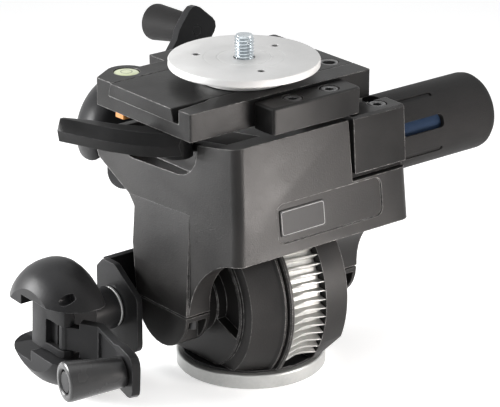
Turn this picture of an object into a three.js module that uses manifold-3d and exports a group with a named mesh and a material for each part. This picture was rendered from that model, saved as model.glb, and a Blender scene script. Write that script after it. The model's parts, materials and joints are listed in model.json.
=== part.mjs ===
// A geared tripod head: a round base, a drum that pans on it, a body that tilts to the front over the
// drum, a tray that tilts sideways on the body, and a sliding plate with the camera disc on top.
// Each movement has a worm and a throated worm wheel. Two of the worms end in a winged knob with a
// fold-out crank, and the third in a long cylindrical grip.
// Millimetres. +Z is up, -Y is the front with the bare label, the origin is under the base disc.
import * as THREE from 'three';
import { mergeVertices } from 'three/addons/utils/BufferGeometryUtils.js';
import Module from 'manifold-3d';

const wasm = await Module();
wasm.setup();

// Clearances
const seat = 0.3;              // between two pieces that seat on each other
const freeGap = 0.6;           // round a turning worm or wheel
const overrun = 3;             // how far a cut runs past the face that it opens

// Base disc, spindle and washer
const baseRadius = 36.5;
const baseHeight = 7.3;
const baseBevel = 0.7;
const bushRadius = 10;
const bushBore = 4.1;
const washerInset = 2.5;
const washerHeight = 1;
const journalRadius = 17;
const neckRadius = 9.7;

// Worm drives: heights and slopes that all three share
const threadHeight = 1.05;     // above and below the pitch line
const rootClearance = 0.35;
const flankShare = 0.245;      // sideways run of a flank for its height
const threadShare = 0.21;      // half of the thread at the pitch line, as a share of the pitch
const toothShare = 0.19;       // half of a wheel tooth there
const throatShare = 0.5;        // half of the flat band of a wide wheel, as a share of its throat
const tipShare = 0.1;          // a tooth keeps at least this share of its half width at the tip
const flankFacets = 12;        // columns of facets round a worm
const shaftRadius = 3.5;

const panTeeth = 30;
const panWheelRadius = 24;
const panWheelWidth = 9;
const panWormRadius = 7.5;
const panWormLength = 13;
const panWormHeight = 33.5;    // worm axis above the underside of the base

const tiltTeeth = 70;
const tiltWheelRadius = 46.75;
const tiltWheelWidth = 19;
const tiltWheelBore = 36;
const tiltWormRadius = 7.25;
const tiltWormLength = 15;
const tiltWheelOffset = 0.5;   // middle of the wheel to the right of the middle of the head
const wheelStart = 55;         // angles of the toothed segment, from the rear over the top
const wheelEnd = 217;

const lateralTeeth = 24;
const lateralWheelRadius = 10.5;
const lateralWheelWidth = 8;
const lateralWormRadius = 6;
const lateralWormLength = 9;

// Drum of the pan body, turned about the tilt axis
const tiltAxisY = 5;
const tiltAxisZ = 39.5;
const drumRadius = 49.6;
const hubHalf = 36;
const hubRadius = 17;
const faceX = 30;
const faceRadius = 35;
const shoulderX = 28.2;
const shoulderRadius = 40.5;
const bandX = 14;
const bandRadius = 46;
const beadWidth = 1.4;
const beadRadius = 47.5;
const grooveRadius = 45;
const cheekLeft = 11.3;
const cheekRight = 24;
const cheekBevel = 0.8;
const footRadius = 36.2;
const windowInner = 18;
const windowOuter = 33.6;
const windowDepth = 5;
const windowStart = 112;
const windowEnd = 201;

// Tilt bearings
const trunnionRadius = 12;
const spigotRadius = 6;
const spigotLength = 6;
const trunnionLength = 9.5;    // of the part in the leg, which is blind outside
const capRadius = 19.5;
const capSplit = 0.4;          // half of the gap between leg and cap
const capFlange = 2.6;         // thickness of the ears that the screws hold
const capWall = 2;
const capPocketOut = 12.6;     // the pockets under the ears start this far from the axis
const capScrewOffset = 15.2;
const capScrewRadius = 1.6;
const capScrewHead = 2.3;
const capScrewHeadHeight = 4.5;
const capScrewRise = 9;

// Housing of the pan worm on the left side
const flangeOuter = 60;
const flangeThickness = 3;
const flangeFront = 11.4;
const flangeRear = 44;
const flangeBottom = 14.4;
const flangeTop = 55.6;
const flangeShoulder = 43.2;
const flangeCorner = 5;
const webThickness = 3.5;
const webRear = 42;
const sleeveRadius = 5;
const bearingRadius = 9;
const bearingLength = 4.5;

// Tilting body
const bodyFront = -43;         // front wall at the chin
const bodyTopFront = -36;      // front wall at the top
const bodyBack = 57;
const bodyTop = 128;
const bodyBackBottom = 101.5;
const chinHeight = 71.3;
const drumRoom = 51.5;         // inner radius round the drum
const bodyHalfTop = 37.5;      // half width at the top front corner
const rearFlareShare = 0.1013; // widening towards the rear
const lowFlareShare = 0.0791;  // widening downwards
const frontCorner = 5;
const legLeft = 50.5;          // outer faces of the legs
const legRight = 55.3;
const legRearTop = 28.7;
const legRearHeight = 83;
const saddleY = 33.4;
const saddleZ = 88;
const earX = 64.6;
const earBack = 5;
const earTop = 97;
const earWall = 4;
const wormBossRadius = 16;
const wormBossEnd = 64.7;
const wallThickness = 4.5;
const pocketFloor = 97;
const leverNotchFront = -11;
const leverNotchBack = 38;
const leverNotchFloor = 105.8;
const leverNotchCorner = 12;
const sillHeight = 124.5;      // lowered top of the left wall under the tray
const sillFront = -25;
const seamTop = 88;            // the left leg stands proud of the wall in front of it below this height
const seamTopY = -8.5;
const chinFlareShare = 0.0459; // extra widening of the wall in front of the seam
const panelLeft = -17.2;
const panelRight = 47.2;
const panelBottom = 76.8;
const panelTop = 95.8;
const panelCorner = 4;
const panelDepth = 0.9;
const labelLeft = -15;
const labelRight = 12;
const labelBottom = 80;
const labelTop = 92.6;
const labelThickness = 0.4;

// End block on the right shoulder
const blockLeft = 31.2;
const blockReveal = 1.6;       // open gap between the block and the body
const blockRight = 63;
const blockFront = -40;
const blockBack = 2.5;
const blockBevel = 1.2;
const blockRebate = 3;
const blockScrewX = 53.8;
const blockScrewY = -29.2;
const blockWallRear = -24.6;   // rear of its front wall, where the tray swings down behind it

// Grip of the lateral worm
const gripAxisY = -18;
const gripAxisZ = 107;
const tubeRadius = 19.3;
const tubeWall = 2.6;
const tubeEnd = 127;
const tubeCapLength = 8;
const tubeCapRound = 5;
const sleeveWall = 3;
const slotEnd = 91;
const slotWidth = 6.6;
const slotAngles = [-24, 20, 64];
const tubeSpigot = 9;
const tubeSpigotLength = 14;

// Tray
const hingeX = 46;
const hingePinRadius = 2.5;
const lateralRange = 40;
const trayHalf = 54.5;
const trayFront = -23;
const trayBack = 49;
const trayGap = 2;             // between the body and the tray
const trayHeight = 13.5;
const trayBevel = 0.8;
const trayLugLeft = -14;
const trayLugRight = 2;
const trayLugBack = 61;
const bubbleX = -38.3;
const bubbleY = 46.6;
const bubbleRadius = 6.2;
const bubbleWall = 3.5;
const bubbleDepth = 4.5;
const barLeft = -16.5;
const barRight = 37;
const barFront = -37;
const barDrop = 1;             // the bar hangs this far below the tray
const barStep = 1.5;           // and its top lies this far below the top of the tray
const barCorner = 2.5;
const barScrewXs = [1.2, 23.4];
const barScrewY = -29.4;
const screwHeadRadius = 4.3;
const screwHeadHeight = 4;
const screwRadius = 2.5;
const socketRadius = 2.3;
const socketDepth = 2.2;
const screwSink = 0.8;
const slitEnd = -36.9;         // wedge slit in the rim beside the left end of the plate
const slitWide = 4.8;
const slitNarrow = 2.2;

// Camera plate and disc
const plateLeft = -55;
const plateFront = -10;
const plateBack = 36.5;
const plateDepth = 6.5;
const plateUndercut = 2;
const ferruleX = 46.2;
const ferruleY = -2.4;
const ferruleRadius = 4.6;
const ferruleBore = 3.2;
const discRadius = 36;
const discThickness = 4;
const discRise = 10;           // top of the disc above the tray
const discNeck = 22;
const discBevel = 0.6;
const studRadius = 4.76;
const studHeight = 11;
const grubCircle = 23;
const grubRadius = 1.5;
const grubAngles = [11.4, 131.4, 251.4];

// Release lever under the left end of the tray
const leverX = -45;
const leverY = -1.5;
const leverHubRadius = 7.5;
const leverHubBottom = 116.5;
const leverReachX = 36;
const leverReachY = 45;
const leverBottom = 118.5;
const leverCrease = 124;
const leverSlope = 3.5;
const leverPinRadius = 2.5;
const leverPinHead = 4.6;
const leverPinHeadHeight = 2.5;
const catchX = -50;
const catchY = 33.4;
const catchWidth = 5;
const catchLength = 7;
const catchHeight = 3;

// Winged knob with its fold-out crank, used twice
const collarRadius = 10;
const collarWidth = 1.5;
const knobHubRadius = 10.5;
const knobStart = 19;
const knobDepth = 28;
const knobRadius = 31.2;
// Outline of a wing as shares of the depth and of the radius of the knob.
const wingShares = [
  [0, 0.75], [0.05, 0.88], [0.13, 0.96], [0.27, 1], [0.42, 1], [0.6, 0.965], [0.8, 0.87], [1, 0.65],
];
const channelHalf = 10.5;
const channelFar = 16;         // the channel is wider on one side of each half
const bridgeHalf = 14;
const bridgeDepth = 13;
const boreDepth = 8;
const wingHoleRadius = 2.4;
const wingHoleDepth = 5;
const wingHoleAlong = 18.5;
const wingHoleAcross = 21;
const wingHoleFloor = 36;
const hingeOut = 14;           // crank hinge from the knob axis
const hingeRise = 18;          // and above the inner face of the knob
const hingeBlockHalf = 10.1;
const hingeBlockFar = 15.4;
const hingeBlockBack = 8;
const hingeBlockRise = 4.5;
const hingeSlot = 6.3;
const hingeEarRadius = 3.7;
const hingeCrest = 2;          // end of the level top of the hinge block
const crankPinRadius = 1.5;
const knuckleHalf = 5.9;
const knuckleRadius = 3;
const armHalf = 9;
const armThickness = 4.6;
const armShoulder = 8;         // from the hinge to where the arm gets wide
const armReach = 57.7;
const armEndHalf = 10.6;
const armDrop = 10.5;          // outer face of the plate below the hinge
const armPlate = 4.2;
const armPocketDepth = 1.6;
const armPocketRim = 1.8;
const gripLength = 29;
const gripRootRadius = 7.25;
const gripEndRadius = 9.5;
const gripBevel = 1.2;
const gripAxleRadius = 2.5;
const gripAxleHead = 5.2;
const gripAxleHeadHeight = 2.2;
const gripRecess = 3.4;
const panCrankDip = 3;         // the pan crank hangs this many degrees below level
const tiltCrankLean = 41;      // the tilt crank leans this many degrees to the right of upright
const panArmLean = 13;         // the arms stand out from their knobs by these angles
const tiltArmLean = 6;

// Heights and places that follow from the sizes above
const washerBottom = baseHeight + seat;
const castingBottom = washerBottom + washerHeight + seat;
const panWormY = panWheelRadius + panWormRadius;
const tiltWormZ = tiltAxisZ + tiltWheelRadius + tiltWormRadius;
const hingeZ = gripAxisZ + lateralWheelRadius + lateralWormRadius;
const trayBottom = bodyTop + trayGap;
const trayTop = trayBottom + trayHeight;
const barBottom = trayBottom - barDrop;
const barTop = trayTop - barStep;
const discTop = trayTop + discRise;
const legInner = hubHalf + 0.5 * seat + 0.5 * freeGap;
const panOrigin = -(flangeOuter + seat);
const tiltOrigin = wormBossEnd + seat;
const plateBottom = trayTop - plateDepth;
const knobEnd = knobStart + knobDepth;
const crankHingeU = knobStart + hingeRise;
const armOuter = crankHingeU - armDrop;
const armInner = armOuter - armPlate;
const trunnionEnd = legInner + trunnionLength;
const legFront = tiltAxisY - capRadius;
const legRear = tiltAxisY + capRadius;
const discX = 0;
const discY = tiltAxisY;

// Materials
function paint(color, roughness, metalness) {
  return new THREE.MeshStandardMaterial({ color, roughness, metalness });
}
const blackPaint = () => paint('#2b2a2c', 0.55, 0.2);
const satinBlack = () => paint('#1d1d1f', 0.4, 0.1);
const mattBlack = () => paint('#232326', 0.75, 0.0);
const silver = () => paint('#c9cac8', 0.35, 0.9);
const whiteZinc = () => paint('#d9d9d3', 0.45, 0.7);
const blackSteel = () => paint('#3a3a3c', 0.4, 0.8);
const navy = () => paint('#2a3c63', 0.6, 0.0);
const orange = () => paint('#e08a1e', 0.5, 0.0);
const greenGlass = () => paint('#c9d98a', 0.1, 0.0);
const labelGrey = () => paint('#4a4a4c', 0.5, 0.1);

// Turns a closed three.js geometry into a solid that can be cut and joined.
function toSolid(geometry) {
  const bare = geometry.index ? geometry.clone() : mergeVertices(geometry);
  bare.deleteAttribute('normal');
  bare.deleteAttribute('uv');
  const merged = mergeVertices(bare);
  const index = merged.index.array;
  const triangles = [];
  for (let i = 0; i < index.length; i += 3) {
    const [a, b, c] = [index[i], index[i + 1], index[i + 2]];
    if (a !== b && b !== c && c !== a) triangles.push(a, b, c);
  }
  const vertProperties = new Float32Array(merged.attributes.position.array);
  if (signedVolume(vertProperties, triangles) < 0) triangles.reverse();
  const triVerts = new Uint32Array(triangles);
  return new wasm.Manifold(new wasm.Mesh({ numProp: 3, vertProperties, triVerts }));
}

function signedVolume(points, triangles) {
  let volume = 0;
  const corner = (k) => new THREE.Vector3(points[3 * k], points[3 * k + 1], points[3 * k + 2]);
  for (let i = 0; i < triangles.length; i += 3) {
    const a = corner(triangles[i]);
    const b = corner(triangles[i + 1]);
    const c = corner(triangles[i + 2]);
    volume += a.dot(b.cross(c)) / 6;
  }
  return volume;
}

function toGeometry(solid) {
  const mesh = solid.getMesh();
  const geometry = new THREE.BufferGeometry();
  geometry.setAttribute('position', new THREE.BufferAttribute(mesh.vertProperties, 3));
  geometry.setIndex(new THREE.BufferAttribute(mesh.triVerts, 1));
  return geometry;
}

function addMesh(parent, name, solid, material) {
  const mesh = new THREE.Mesh(toGeometry(solid), material);
  mesh.name = name;
  parent.add(mesh);
  return mesh;
}

// Where a flat outline and its extrusion point: an outline across x is (y, z), across y it is
// (x, z), and across z it is (x, y).
const axisBasis = {
  x: [new THREE.Vector3(0, 1, 0), new THREE.Vector3(0, 0, 1), new THREE.Vector3(1, 0, 0)],
  y: [new THREE.Vector3(1, 0, 0), new THREE.Vector3(0, 0, 1), new THREE.Vector3(0, 1, 0)],
  z: [new THREE.Vector3(1, 0, 0), new THREE.Vector3(0, 1, 0), new THREE.Vector3(0, 0, 1)],
};

function place(geometry, axis, along, centre) {
  const [first, second, third] = axisBasis[axis];
  const matrix = new THREE.Matrix4().makeBasis(first, second, third);
  geometry.translate(centre[0], centre[1], along);
  geometry.applyMatrix4(matrix);
  return geometry;
}

function prism(outline, axis, from, to) {
  const shape = new THREE.Shape(outline.map(([a, b]) => new THREE.Vector2(a, b)));
  const geometry = new THREE.ExtrudeGeometry(shape, { depth: to - from, bevelEnabled: false });
  return toSolid(place(geometry, axis, from, [0, 0]));
}

function box(x0, x1, y0, y1, z0, z1) {
  const geometry = new THREE.BoxGeometry(x1 - x0, y1 - y0, z1 - z0);
  geometry.translate((x0 + x1) / 2, (y0 + y1) / 2, (z0 + z1) / 2);
  return toSolid(geometry);
}

// A body turned about an axis. The profile lists [place along the axis, radius].
function turned(profile, axis, centre = [0, 0], segments = 20) {
  const points = profile.map(([along, radius]) => new THREE.Vector2(radius, along));
  const geometry = new THREE.LatheGeometry(points, segments);
  geometry.rotateX(Math.PI / 2);
  return toSolid(place(geometry, axis, 0, centre));
}

function rod(axis, radius, from, to, centre = [0, 0], segments = 16) {
  return turned([[from, 0], [from, radius], [to, radius], [to, 0]], axis, centre, segments);
}

function pipe(axis, inner, outer, from, to, centre = [0, 0], segments = 24) {
  const profile = [[from, inner], [from, outer], [to, outer], [to, inner], [from, inner]];
  return turned(profile, axis, centre, segments);
}

// Rounds the corners of an outline whose points are [a, b, radius]; no radius leaves a sharp corner.
function rounded(points, steps = 4) {
  const outline = [];
  points.forEach(([a, b, radius], i) => {
    if (!radius) {
      outline.push([a, b]);
      return;
    }
    const here = new THREE.Vector2(a, b);
    const before = points[(i + points.length - 1) % points.length];
    const after = points[(i + 1) % points.length];
    const back = new THREE.Vector2(before[0], before[1]).sub(here).normalize();
    const ahead = new THREE.Vector2(after[0], after[1]).sub(here).normalize();
    const half = Math.acos(THREE.MathUtils.clamp(back.dot(ahead), -1, 1)) / 2;
    const start = here.clone().addScaledVector(back, radius / Math.tan(half));
    const end = here.clone().addScaledVector(ahead, radius / Math.tan(half));
    const middle = back.clone().add(ahead).normalize();
    const centre = here.clone().addScaledVector(middle, radius / Math.sin(half));
    const from = start.clone().sub(centre).angle();
    let turn = end.clone().sub(centre).angle() - from;
    if (turn > Math.PI) turn -= 2 * Math.PI;
    if (turn < -Math.PI) turn += 2 * Math.PI;
    for (let k = 0; k <= steps; k += 1) {
      const angle = from + (turn * k) / steps;
      outline.push([centre.x + radius * Math.cos(angle), centre.y + radius * Math.sin(angle)]);
    }
  });
  return outline;
}

const radians = (degrees) => (degrees * Math.PI) / 180;

// Points of an arc, with angles in degrees.
function arc(centreA, centreB, radius, from, to, steps = 8) {
  const points = [];
  for (let k = 0; k <= steps; k += 1) {
    const angle = radians(from + ((to - from) * k) / steps);
    points.push([centreA + radius * Math.cos(angle), centreB + radius * Math.sin(angle)]);
  }
  return points;
}

// A ring segment across an axis.
function sector(axis, inner, outer, angleFrom, angleTo, from, to, centre, steps = 20) {
  const outside = arc(centre[0], centre[1], outer, angleFrom, angleTo, steps);
  const inside = arc(centre[0], centre[1], inner, angleTo, angleFrom, steps);
  return prism([...outside, ...inside], axis, from, to);
}

// A closed body through outlines that lie one above the other along an axis.
function stack(outlines, stations, axis) {
  const count = outlines[0].length;
  const [first, second, third] = axisBasis[axis];
  const positions = [];
  outlines.forEach((outline, level) => {
    outline.forEach(([a, b]) => {
      const point = new THREE.Vector3();
      point.addScaledVector(first, a).addScaledVector(second, b).addScaledVector(third, stations[level]);
      positions.push(point.x, point.y, point.z);
    });
  });
  const triangles = [];
  for (let level = 0; level + 1 < outlines.length; level += 1) {
    for (let i = 0; i < count; i += 1) {
      const next = (i + 1) % count;
      const a = level * count + i;
      const b = level * count + next;
      triangles.push(a, b, b + count, a, b + count, a + count);
    }
  }
  const cap = (level, sign) => {
    const points = outlines[level].map(([a, b]) => new THREE.Vector2(a, b));
    const wanted = sign * Math.sign(THREE.ShapeUtils.area(points));
    THREE.ShapeUtils.triangulateShape(points, []).forEach((face) => {
      const facing = Math.sign(THREE.ShapeUtils.area(face.map((k) => points[k])));
      const corners = face.map((k) => level * count + k);
      triangles.push(...(facing === wanted ? corners : corners.reverse()));
    });
  };
  cap(0, -1);
  cap(outlines.length - 1, 1);
  const geometry = new THREE.BufferGeometry();
  geometry.setAttribute('position', new THREE.Float32BufferAttribute(positions, 3));
  geometry.setIndex(triangles);
  return toSolid(geometry);
}

// Worm drives

function driveSizes(wheelRadius, wormRadius, teeth) {
  const pitch = (2 * Math.PI * wheelRadius) / teeth;
  return {
    pitch,
    wheelRadius,
    wormRadius,
    teeth,
    centres: wheelRadius + wormRadius,
    wormTip: wormRadius + threadHeight,
    wormRoot: wormRadius - threadHeight - rootClearance,
    wheelThroat: wheelRadius + threadHeight,
    wheelRoot: wheelRadius - threadHeight - rootClearance,
    threadHalf: threadShare * pitch,
    toothHalf: toothShare * pitch,
  };
}
const panDrive = driveSizes(panWheelRadius, panWormRadius, panTeeth);
const tiltDrive = driveSizes(tiltWheelRadius, tiltWormRadius, tiltTeeth);
const lateralDrive = driveSizes(lateralWheelRadius, lateralWormRadius, lateralTeeth);

// The thread of a right-handed worm along z, with a crest at angle 0 in the plane z = 0. Its rows
// follow the helix, so the flanks are exact.
function wormThread(drive, length, columns = flankFacets) {
  const rise = threadHeight + rootClearance;
  const crest = drive.threadHalf - threadHeight * flankShare;
  const foot = crest + (rise + threadHeight) * flankShare;
  const rows = [
    [-foot, drive.wormRoot],
    [-crest, drive.wormTip],
    [crest, drive.wormTip],
    [foot, drive.wormRoot],
  ];
  const turns = Math.ceil(length / drive.pitch) + 3;
  const positions = [];
  const rowCount = rows.length * (turns + 1);
  const at = (column, row) => {
    if (column === columns) return at(0, row + rows.length);
    return column * rowCount + row;
  };
  for (let column = 0; column < columns; column += 1) {
    const angle = (2 * Math.PI * column) / columns;
    for (let row = 0; row < rowCount; row += 1) {
      const [offset, radius] = rows[row % rows.length];
      const turn = Math.floor(row / rows.length) - Math.ceil(turns / 2);
      const along = drive.pitch * (turn + column / columns) + offset;
      positions.push(radius * Math.cos(angle), radius * Math.sin(angle), along);
    }
  }
  const triangles = [];
  const lastRow = rowCount - rows.length - 1;
  for (let column = 0; column < columns; column += 1) {
    for (let row = 0; row < lastRow; row += 1) {
      const [a, b] = [at(column, row), at(column + 1, row)];
      const [c, d] = [at(column + 1, row + 1), at(column, row + 1)];
      triangles.push(a, b, c, a, c, d);
    }
  }
  const closeEnd = (rim) => {
    const centre = positions.length / 3;
    const height = rim.reduce((sum, k) => sum + positions[3 * k + 2], 0) / rim.length;
    positions.push(0, 0, height);
    rim.forEach((k, i) => triangles.push(centre, rim[(i + 1) % rim.length], k));
  };
  const lowRim = [];
  const highRim = [];
  for (let column = 0; column <= columns; column += 1) lowRim.push(at(column, 0));
  for (let row = rows.length - 1; row > 0; row -= 1) lowRim.push(at(0, row));
  for (let column = columns; column >= 0; column -= 1) highRim.push(at(column, lastRow));
  for (let row = lastRow + 1; row < lastRow + rows.length; row += 1) highRim.push(at(0, row));
  closeEnd(lowRim);
  closeEnd(highRim);
  const geometry = new THREE.BufferGeometry();
  geometry.setAttribute('position', new THREE.Float32BufferAttribute(positions, 3));
  geometry.setIndex(triangles);
  const trim = rod('z', drive.wormTip + overrun, -length / 2, length / 2);
  return toSolid(geometry).intersect(trim);
}

// Moves a solid by a matrix.
function moved(solid, matrix) {
  const geometry = toGeometry(solid);
  geometry.applyMatrix4(matrix);
  return toSolid(geometry);
}

const turnAboutZ = (degrees) => new THREE.Matrix4().makeRotationZ(radians(degrees));
const shift = (x, y, z) => new THREE.Matrix4().makeTranslation(x, y, z);

// A throated worm wheel about z. Each tooth is wide at its foot, follows the helix of the worm across
// the wheel, is low in the middle where the worm wraps it, and runs out to a point at the rims.
// A gap is centred on the angle that faces the worm. A full wheel has no start angle.
function wormWheel(drive, width, rim, bore, facing, isWide, start, end) {
  const step = (2 * Math.PI) / drive.teeth;
  const throatHalf = Math.sqrt((drive.wormRadius - threadHeight) ** 2 - (drive.centres - rim) ** 2);
  const band = throatShare * throatHalf;
  const inside = isWide ? [-band, band] : [];
  const stations = [-0.5 * width, ...inside, 0.5 * width];
  const isFull = start === undefined;
  const first = isFull ? 0 : Math.ceil((radians(start - facing) - step) / step);
  const last = isFull ? drive.teeth - 1 : Math.floor((radians(end - facing) - step) / step);
  const outlines = stations.map((station) => {
    const tip = isWide && Math.abs(station) > band ? rim : drive.wheelThroat;
    const lean = Math.atan(station / drive.wormRadius) / drive.teeth;
    const halfAt = (radius) => Math.max(
      drive.toothHalf - (radius - drive.wheelRadius) * flankShare,
      tipShare * drive.toothHalf,
    );
    const outline = [];
    for (let tooth = first; tooth <= last; tooth += 1) {
      const centre = radians(facing) + (tooth + 0.5) * step + lean;
      const foot = halfAt(drive.wheelRoot) / drive.wheelRoot;
      const top = halfAt(tip) / tip;
      const corners = [[-foot, drive.wheelRoot], [-top, tip], [top, tip], [foot, drive.wheelRoot]];
      corners.forEach(([offset, radius]) => {
        outline.push([radius * Math.cos(centre + offset), radius * Math.sin(centre + offset)]);
      });
    }
    if (!isFull) {
      const steps = 12;
      for (let k = 0; k <= steps; k += 1) {
        const angle = radians(end + ((start - end) * k) / steps);
        outline.push([bore * Math.cos(angle), bore * Math.sin(angle)]);
      }
    }
    return outline;
  });
  const wheel = stack(outlines, stations, 'z');
  return isFull ? wheel.subtract(rod('z', bore, -width, width, [0, 0], 14)) : wheel;
}

// Turns a wheel or worm made about z so that it lies about x, with its x on y.
const zToX = new THREE.Matrix4().makeBasis(
  new THREE.Vector3(0, 1, 0),
  new THREE.Vector3(0, 0, 1),
  new THREE.Vector3(1, 0, 0),
);
// Turns one made about z so that it lies about -y, with its x on x and its y on z.
const zToY = new THREE.Matrix4().makeBasis(
  new THREE.Vector3(1, 0, 0),
  new THREE.Vector3(0, 0, 1),
  new THREE.Vector3(0, -1, 0),
);

// A screw along z with a hexagonal socket in its head.
function socketScrew(x, y, headTop, headRadius, headHeight, shankRadius, shankEnd) {
  const profile = [
    [shankEnd, 0],
    [shankEnd, shankRadius],
    [headTop - headHeight, shankRadius],
    [headTop - headHeight, headRadius],
    [headTop, headRadius],
    [headTop, 0],
  ];
  const screw = turned(profile, 'z', [x, y], 12);
  return screw.subtract(rod('z', socketRadius, headTop - socketDepth, headTop + overrun, [x, y], 6));
}

const head = new THREE.Group();

// Base
function makeBase() {
  const disc = turned([
    [0, bushRadius + seat],
    [0, baseRadius - baseBevel],
    [baseBevel, baseRadius],
    [baseHeight - baseBevel, baseRadius],
    [baseHeight, baseRadius - baseBevel],
    [baseHeight, bushRadius + seat],
    [0, bushRadius + seat],
  ], 'z', [0, 0], 32);
  addMesh(head, 'base_disc', disc, silver());

  const bush = pipe('z', bushBore, bushRadius, 0, baseHeight - seat, [0, 0], 12);
  addMesh(head, 'thread_bush', bush, whiteZinc());

  const washerInner = journalRadius + freeGap;
  const washerOuter = baseRadius - washerInset;
  const washerTop = washerBottom + washerHeight;
  const washer = pipe('z', washerInner, washerOuter, washerBottom, washerTop, [0, 0], 20);
  addMesh(head, 'thrust_washer', washer, satinBlack());

  const wheelBottom = panWormHeight - panWheelWidth / 2;
  const wheelTop = panWormHeight + panWheelWidth / 2;
  const spindle = turned([
    [washerBottom, 0],
    [washerBottom, journalRadius],
    [wheelBottom - seat, journalRadius],
    [wheelBottom - seat, neckRadius],
    [wheelTop, neckRadius],
    [wheelTop, 0],
  ], 'z', [0, 0], 14);
  addMesh(head, 'pan_spindle', spindle, blackSteel());

  const rim = panDrive.wheelThroat + 2 * rootClearance;
  const wheel = wormWheel(panDrive, panWheelWidth, rim, neckRadius + seat, 90, false);
  addMesh(head, 'pan_wheel', moved(wheel, shift(0, 0, panWormHeight)), whiteZinc());
}

// Pan body
function makeLowerCasting() {
  const profile = [
    [-hubHalf, 0],
    [-hubHalf, hubRadius],
    [-faceX, hubRadius],
    [-faceX, faceRadius],
    [-shoulderX, faceRadius],
    [-shoulderX, shoulderRadius],
    [-bandX, bandRadius],
    [-bandX + cheekBevel, beadRadius],
    [-bandX + cheekBevel + beadWidth, beadRadius],
    [-bandX + cheekBevel + beadWidth, grooveRadius],
    [-cheekLeft, grooveRadius],
    [-cheekLeft, drumRadius - cheekBevel],
    [-cheekLeft + cheekBevel, drumRadius],
    [cheekRight, drumRadius],
    [cheekRight, bandRadius],
    [shoulderX, shoulderRadius],
    [shoulderX, faceRadius],
    [faceX, faceRadius],
    [faceX, hubRadius],
    [hubHalf, hubRadius],
    [hubHalf, 0],
  ];
  const axis = [tiltAxisY, tiltAxisZ];
  let casting = turned(profile, 'x', axis, 26);
  const footTop = castingBottom + 2 * drumRadius;
  const foot = turned([
    [castingBottom, 0],
    [castingBottom, footRadius],
    [footTop, footRadius + footTop - castingBottom],
    [footTop, 0],
  ], 'z', [0, 0], 24);
  casting = casting.intersect(foot);

  const slotLeft = tiltWheelOffset - tiltWheelWidth / 2 - seat;
  const slotRight = tiltWheelOffset + tiltWheelWidth / 2 + seat;
  const slotEndAngle = 2 * wheelEnd - 180;
  casting = casting.subtract(sector(
    'x', tiltWheelBore - seat, drumRadius + overrun, wheelStart - 1, slotEndAngle,
    slotLeft, slotRight, axis, 18,
  ));
  casting = casting.subtract(sector(
    'x', windowInner, windowOuter, windowStart, windowEnd,
    -faceX - overrun, -faceX + windowDepth, axis, 8,
  ));

  const wheelBottom = panWormHeight - panWheelWidth / 2;
  const wheelTop = panWormHeight + panWheelWidth / 2;
  const roomRadius = panDrive.wheelThroat + 2 * rootClearance + freeGap;
  casting = casting.subtract(rod('z', journalRadius + seat, castingBottom - overrun, wheelTop, [0, 0], 20));
  const gearRoom = rod('z', roomRadius, wheelBottom - freeGap, wheelTop + freeGap, [0, 0], 24);
  casting = casting.subtract(gearRoom);

  const wormPlace = [panWormY, panWormHeight];
  const channelHalfLength = panWormLength / 2 + freeGap;
  const channelRadius = panDrive.wormTip + freeGap;
  const channel = rod('x', channelRadius, -channelHalfLength, channelHalfLength, wormPlace, 12);
  casting = casting.subtract(channel);
  casting = casting.subtract(rod('x', shaftRadius + seat, -hubHalf - overrun, 0, wormPlace, 12));
  [-1, 1].forEach((side) => {
    const inner = side * (hubHalf - spigotLength - seat);
    const outer = side * (hubHalf + overrun);
    const bore = rod('x', spigotRadius + seat, Math.min(inner, outer), Math.max(inner, outer), axis, 12);
    casting = casting.subtract(bore);
  });
  addMesh(head, 'lower_casting', casting, blackPaint());
}

function makeTiltWheel() {
  const wheel = wormWheel(
    tiltDrive, tiltWheelWidth, drumRadius, tiltWheelBore, 90, true, wheelStart, wheelEnd,
  );
  const placed = moved(moved(wheel, zToX), shift(tiltWheelOffset, tiltAxisY, tiltAxisZ));
  addMesh(head, 'front_tilt_wheel', placed, whiteZinc());
}

function makeTrunnions() {
  [['left_trunnion', -1], ['right_trunnion', 1]].forEach(([name, side]) => {
    const profile = [
      [side * (hubHalf - spigotLength), 0],
      [side * (hubHalf - spigotLength), spigotRadius],
      [side * (hubHalf + seat), spigotRadius],
      [side * (hubHalf + seat), trunnionRadius],
      [side * trunnionEnd, trunnionRadius],
      [side * trunnionEnd, 0],
    ];
    addMesh(head, name, turned(profile, 'x', [tiltAxisY, tiltAxisZ], 16), blackSteel());
  });
}

function makePanHousing() {
  const inner = -flangeOuter + flangeThickness;
  const outline = rounded([
    [flangeFront, flangeBottom, flangeCorner],
    [flangeRear, flangeBottom, flangeCorner],
    [flangeRear, flangeTop - flangeCorner, flangeCorner / 2],
    [flangeRear - flangeCorner, flangeTop, flangeCorner / 2],
    [flangeRear - 3 * flangeCorner, flangeTop, flangeCorner],
    [flangeFront, flangeShoulder, flangeCorner],
  ]);
  let housing = prism(outline, 'x', -flangeOuter, inner);
  const place = [panWormY, panWormHeight];
  const webFront = webRear - webThickness;
  const webEnd = -faceX - seat;
  const webBottom = flangeBottom + flangeCorner;
  const webTop = flangeTop - seat - capSplit;
  housing = housing.add(box(inner - seat, webEnd, webFront, webRear, webBottom, webTop));
  housing = housing.add(rod('x', sleeveRadius, inner - seat, webEnd, place));
  housing = housing.add(rod('x', bearingRadius, inner - seat, inner + bearingLength, place));
  housing = housing.subtract(rod('x', shaftRadius + seat, -flangeOuter - overrun, 0, place));
  addMesh(head, 'pan_worm_housing', housing, satinBlack());
}

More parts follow.
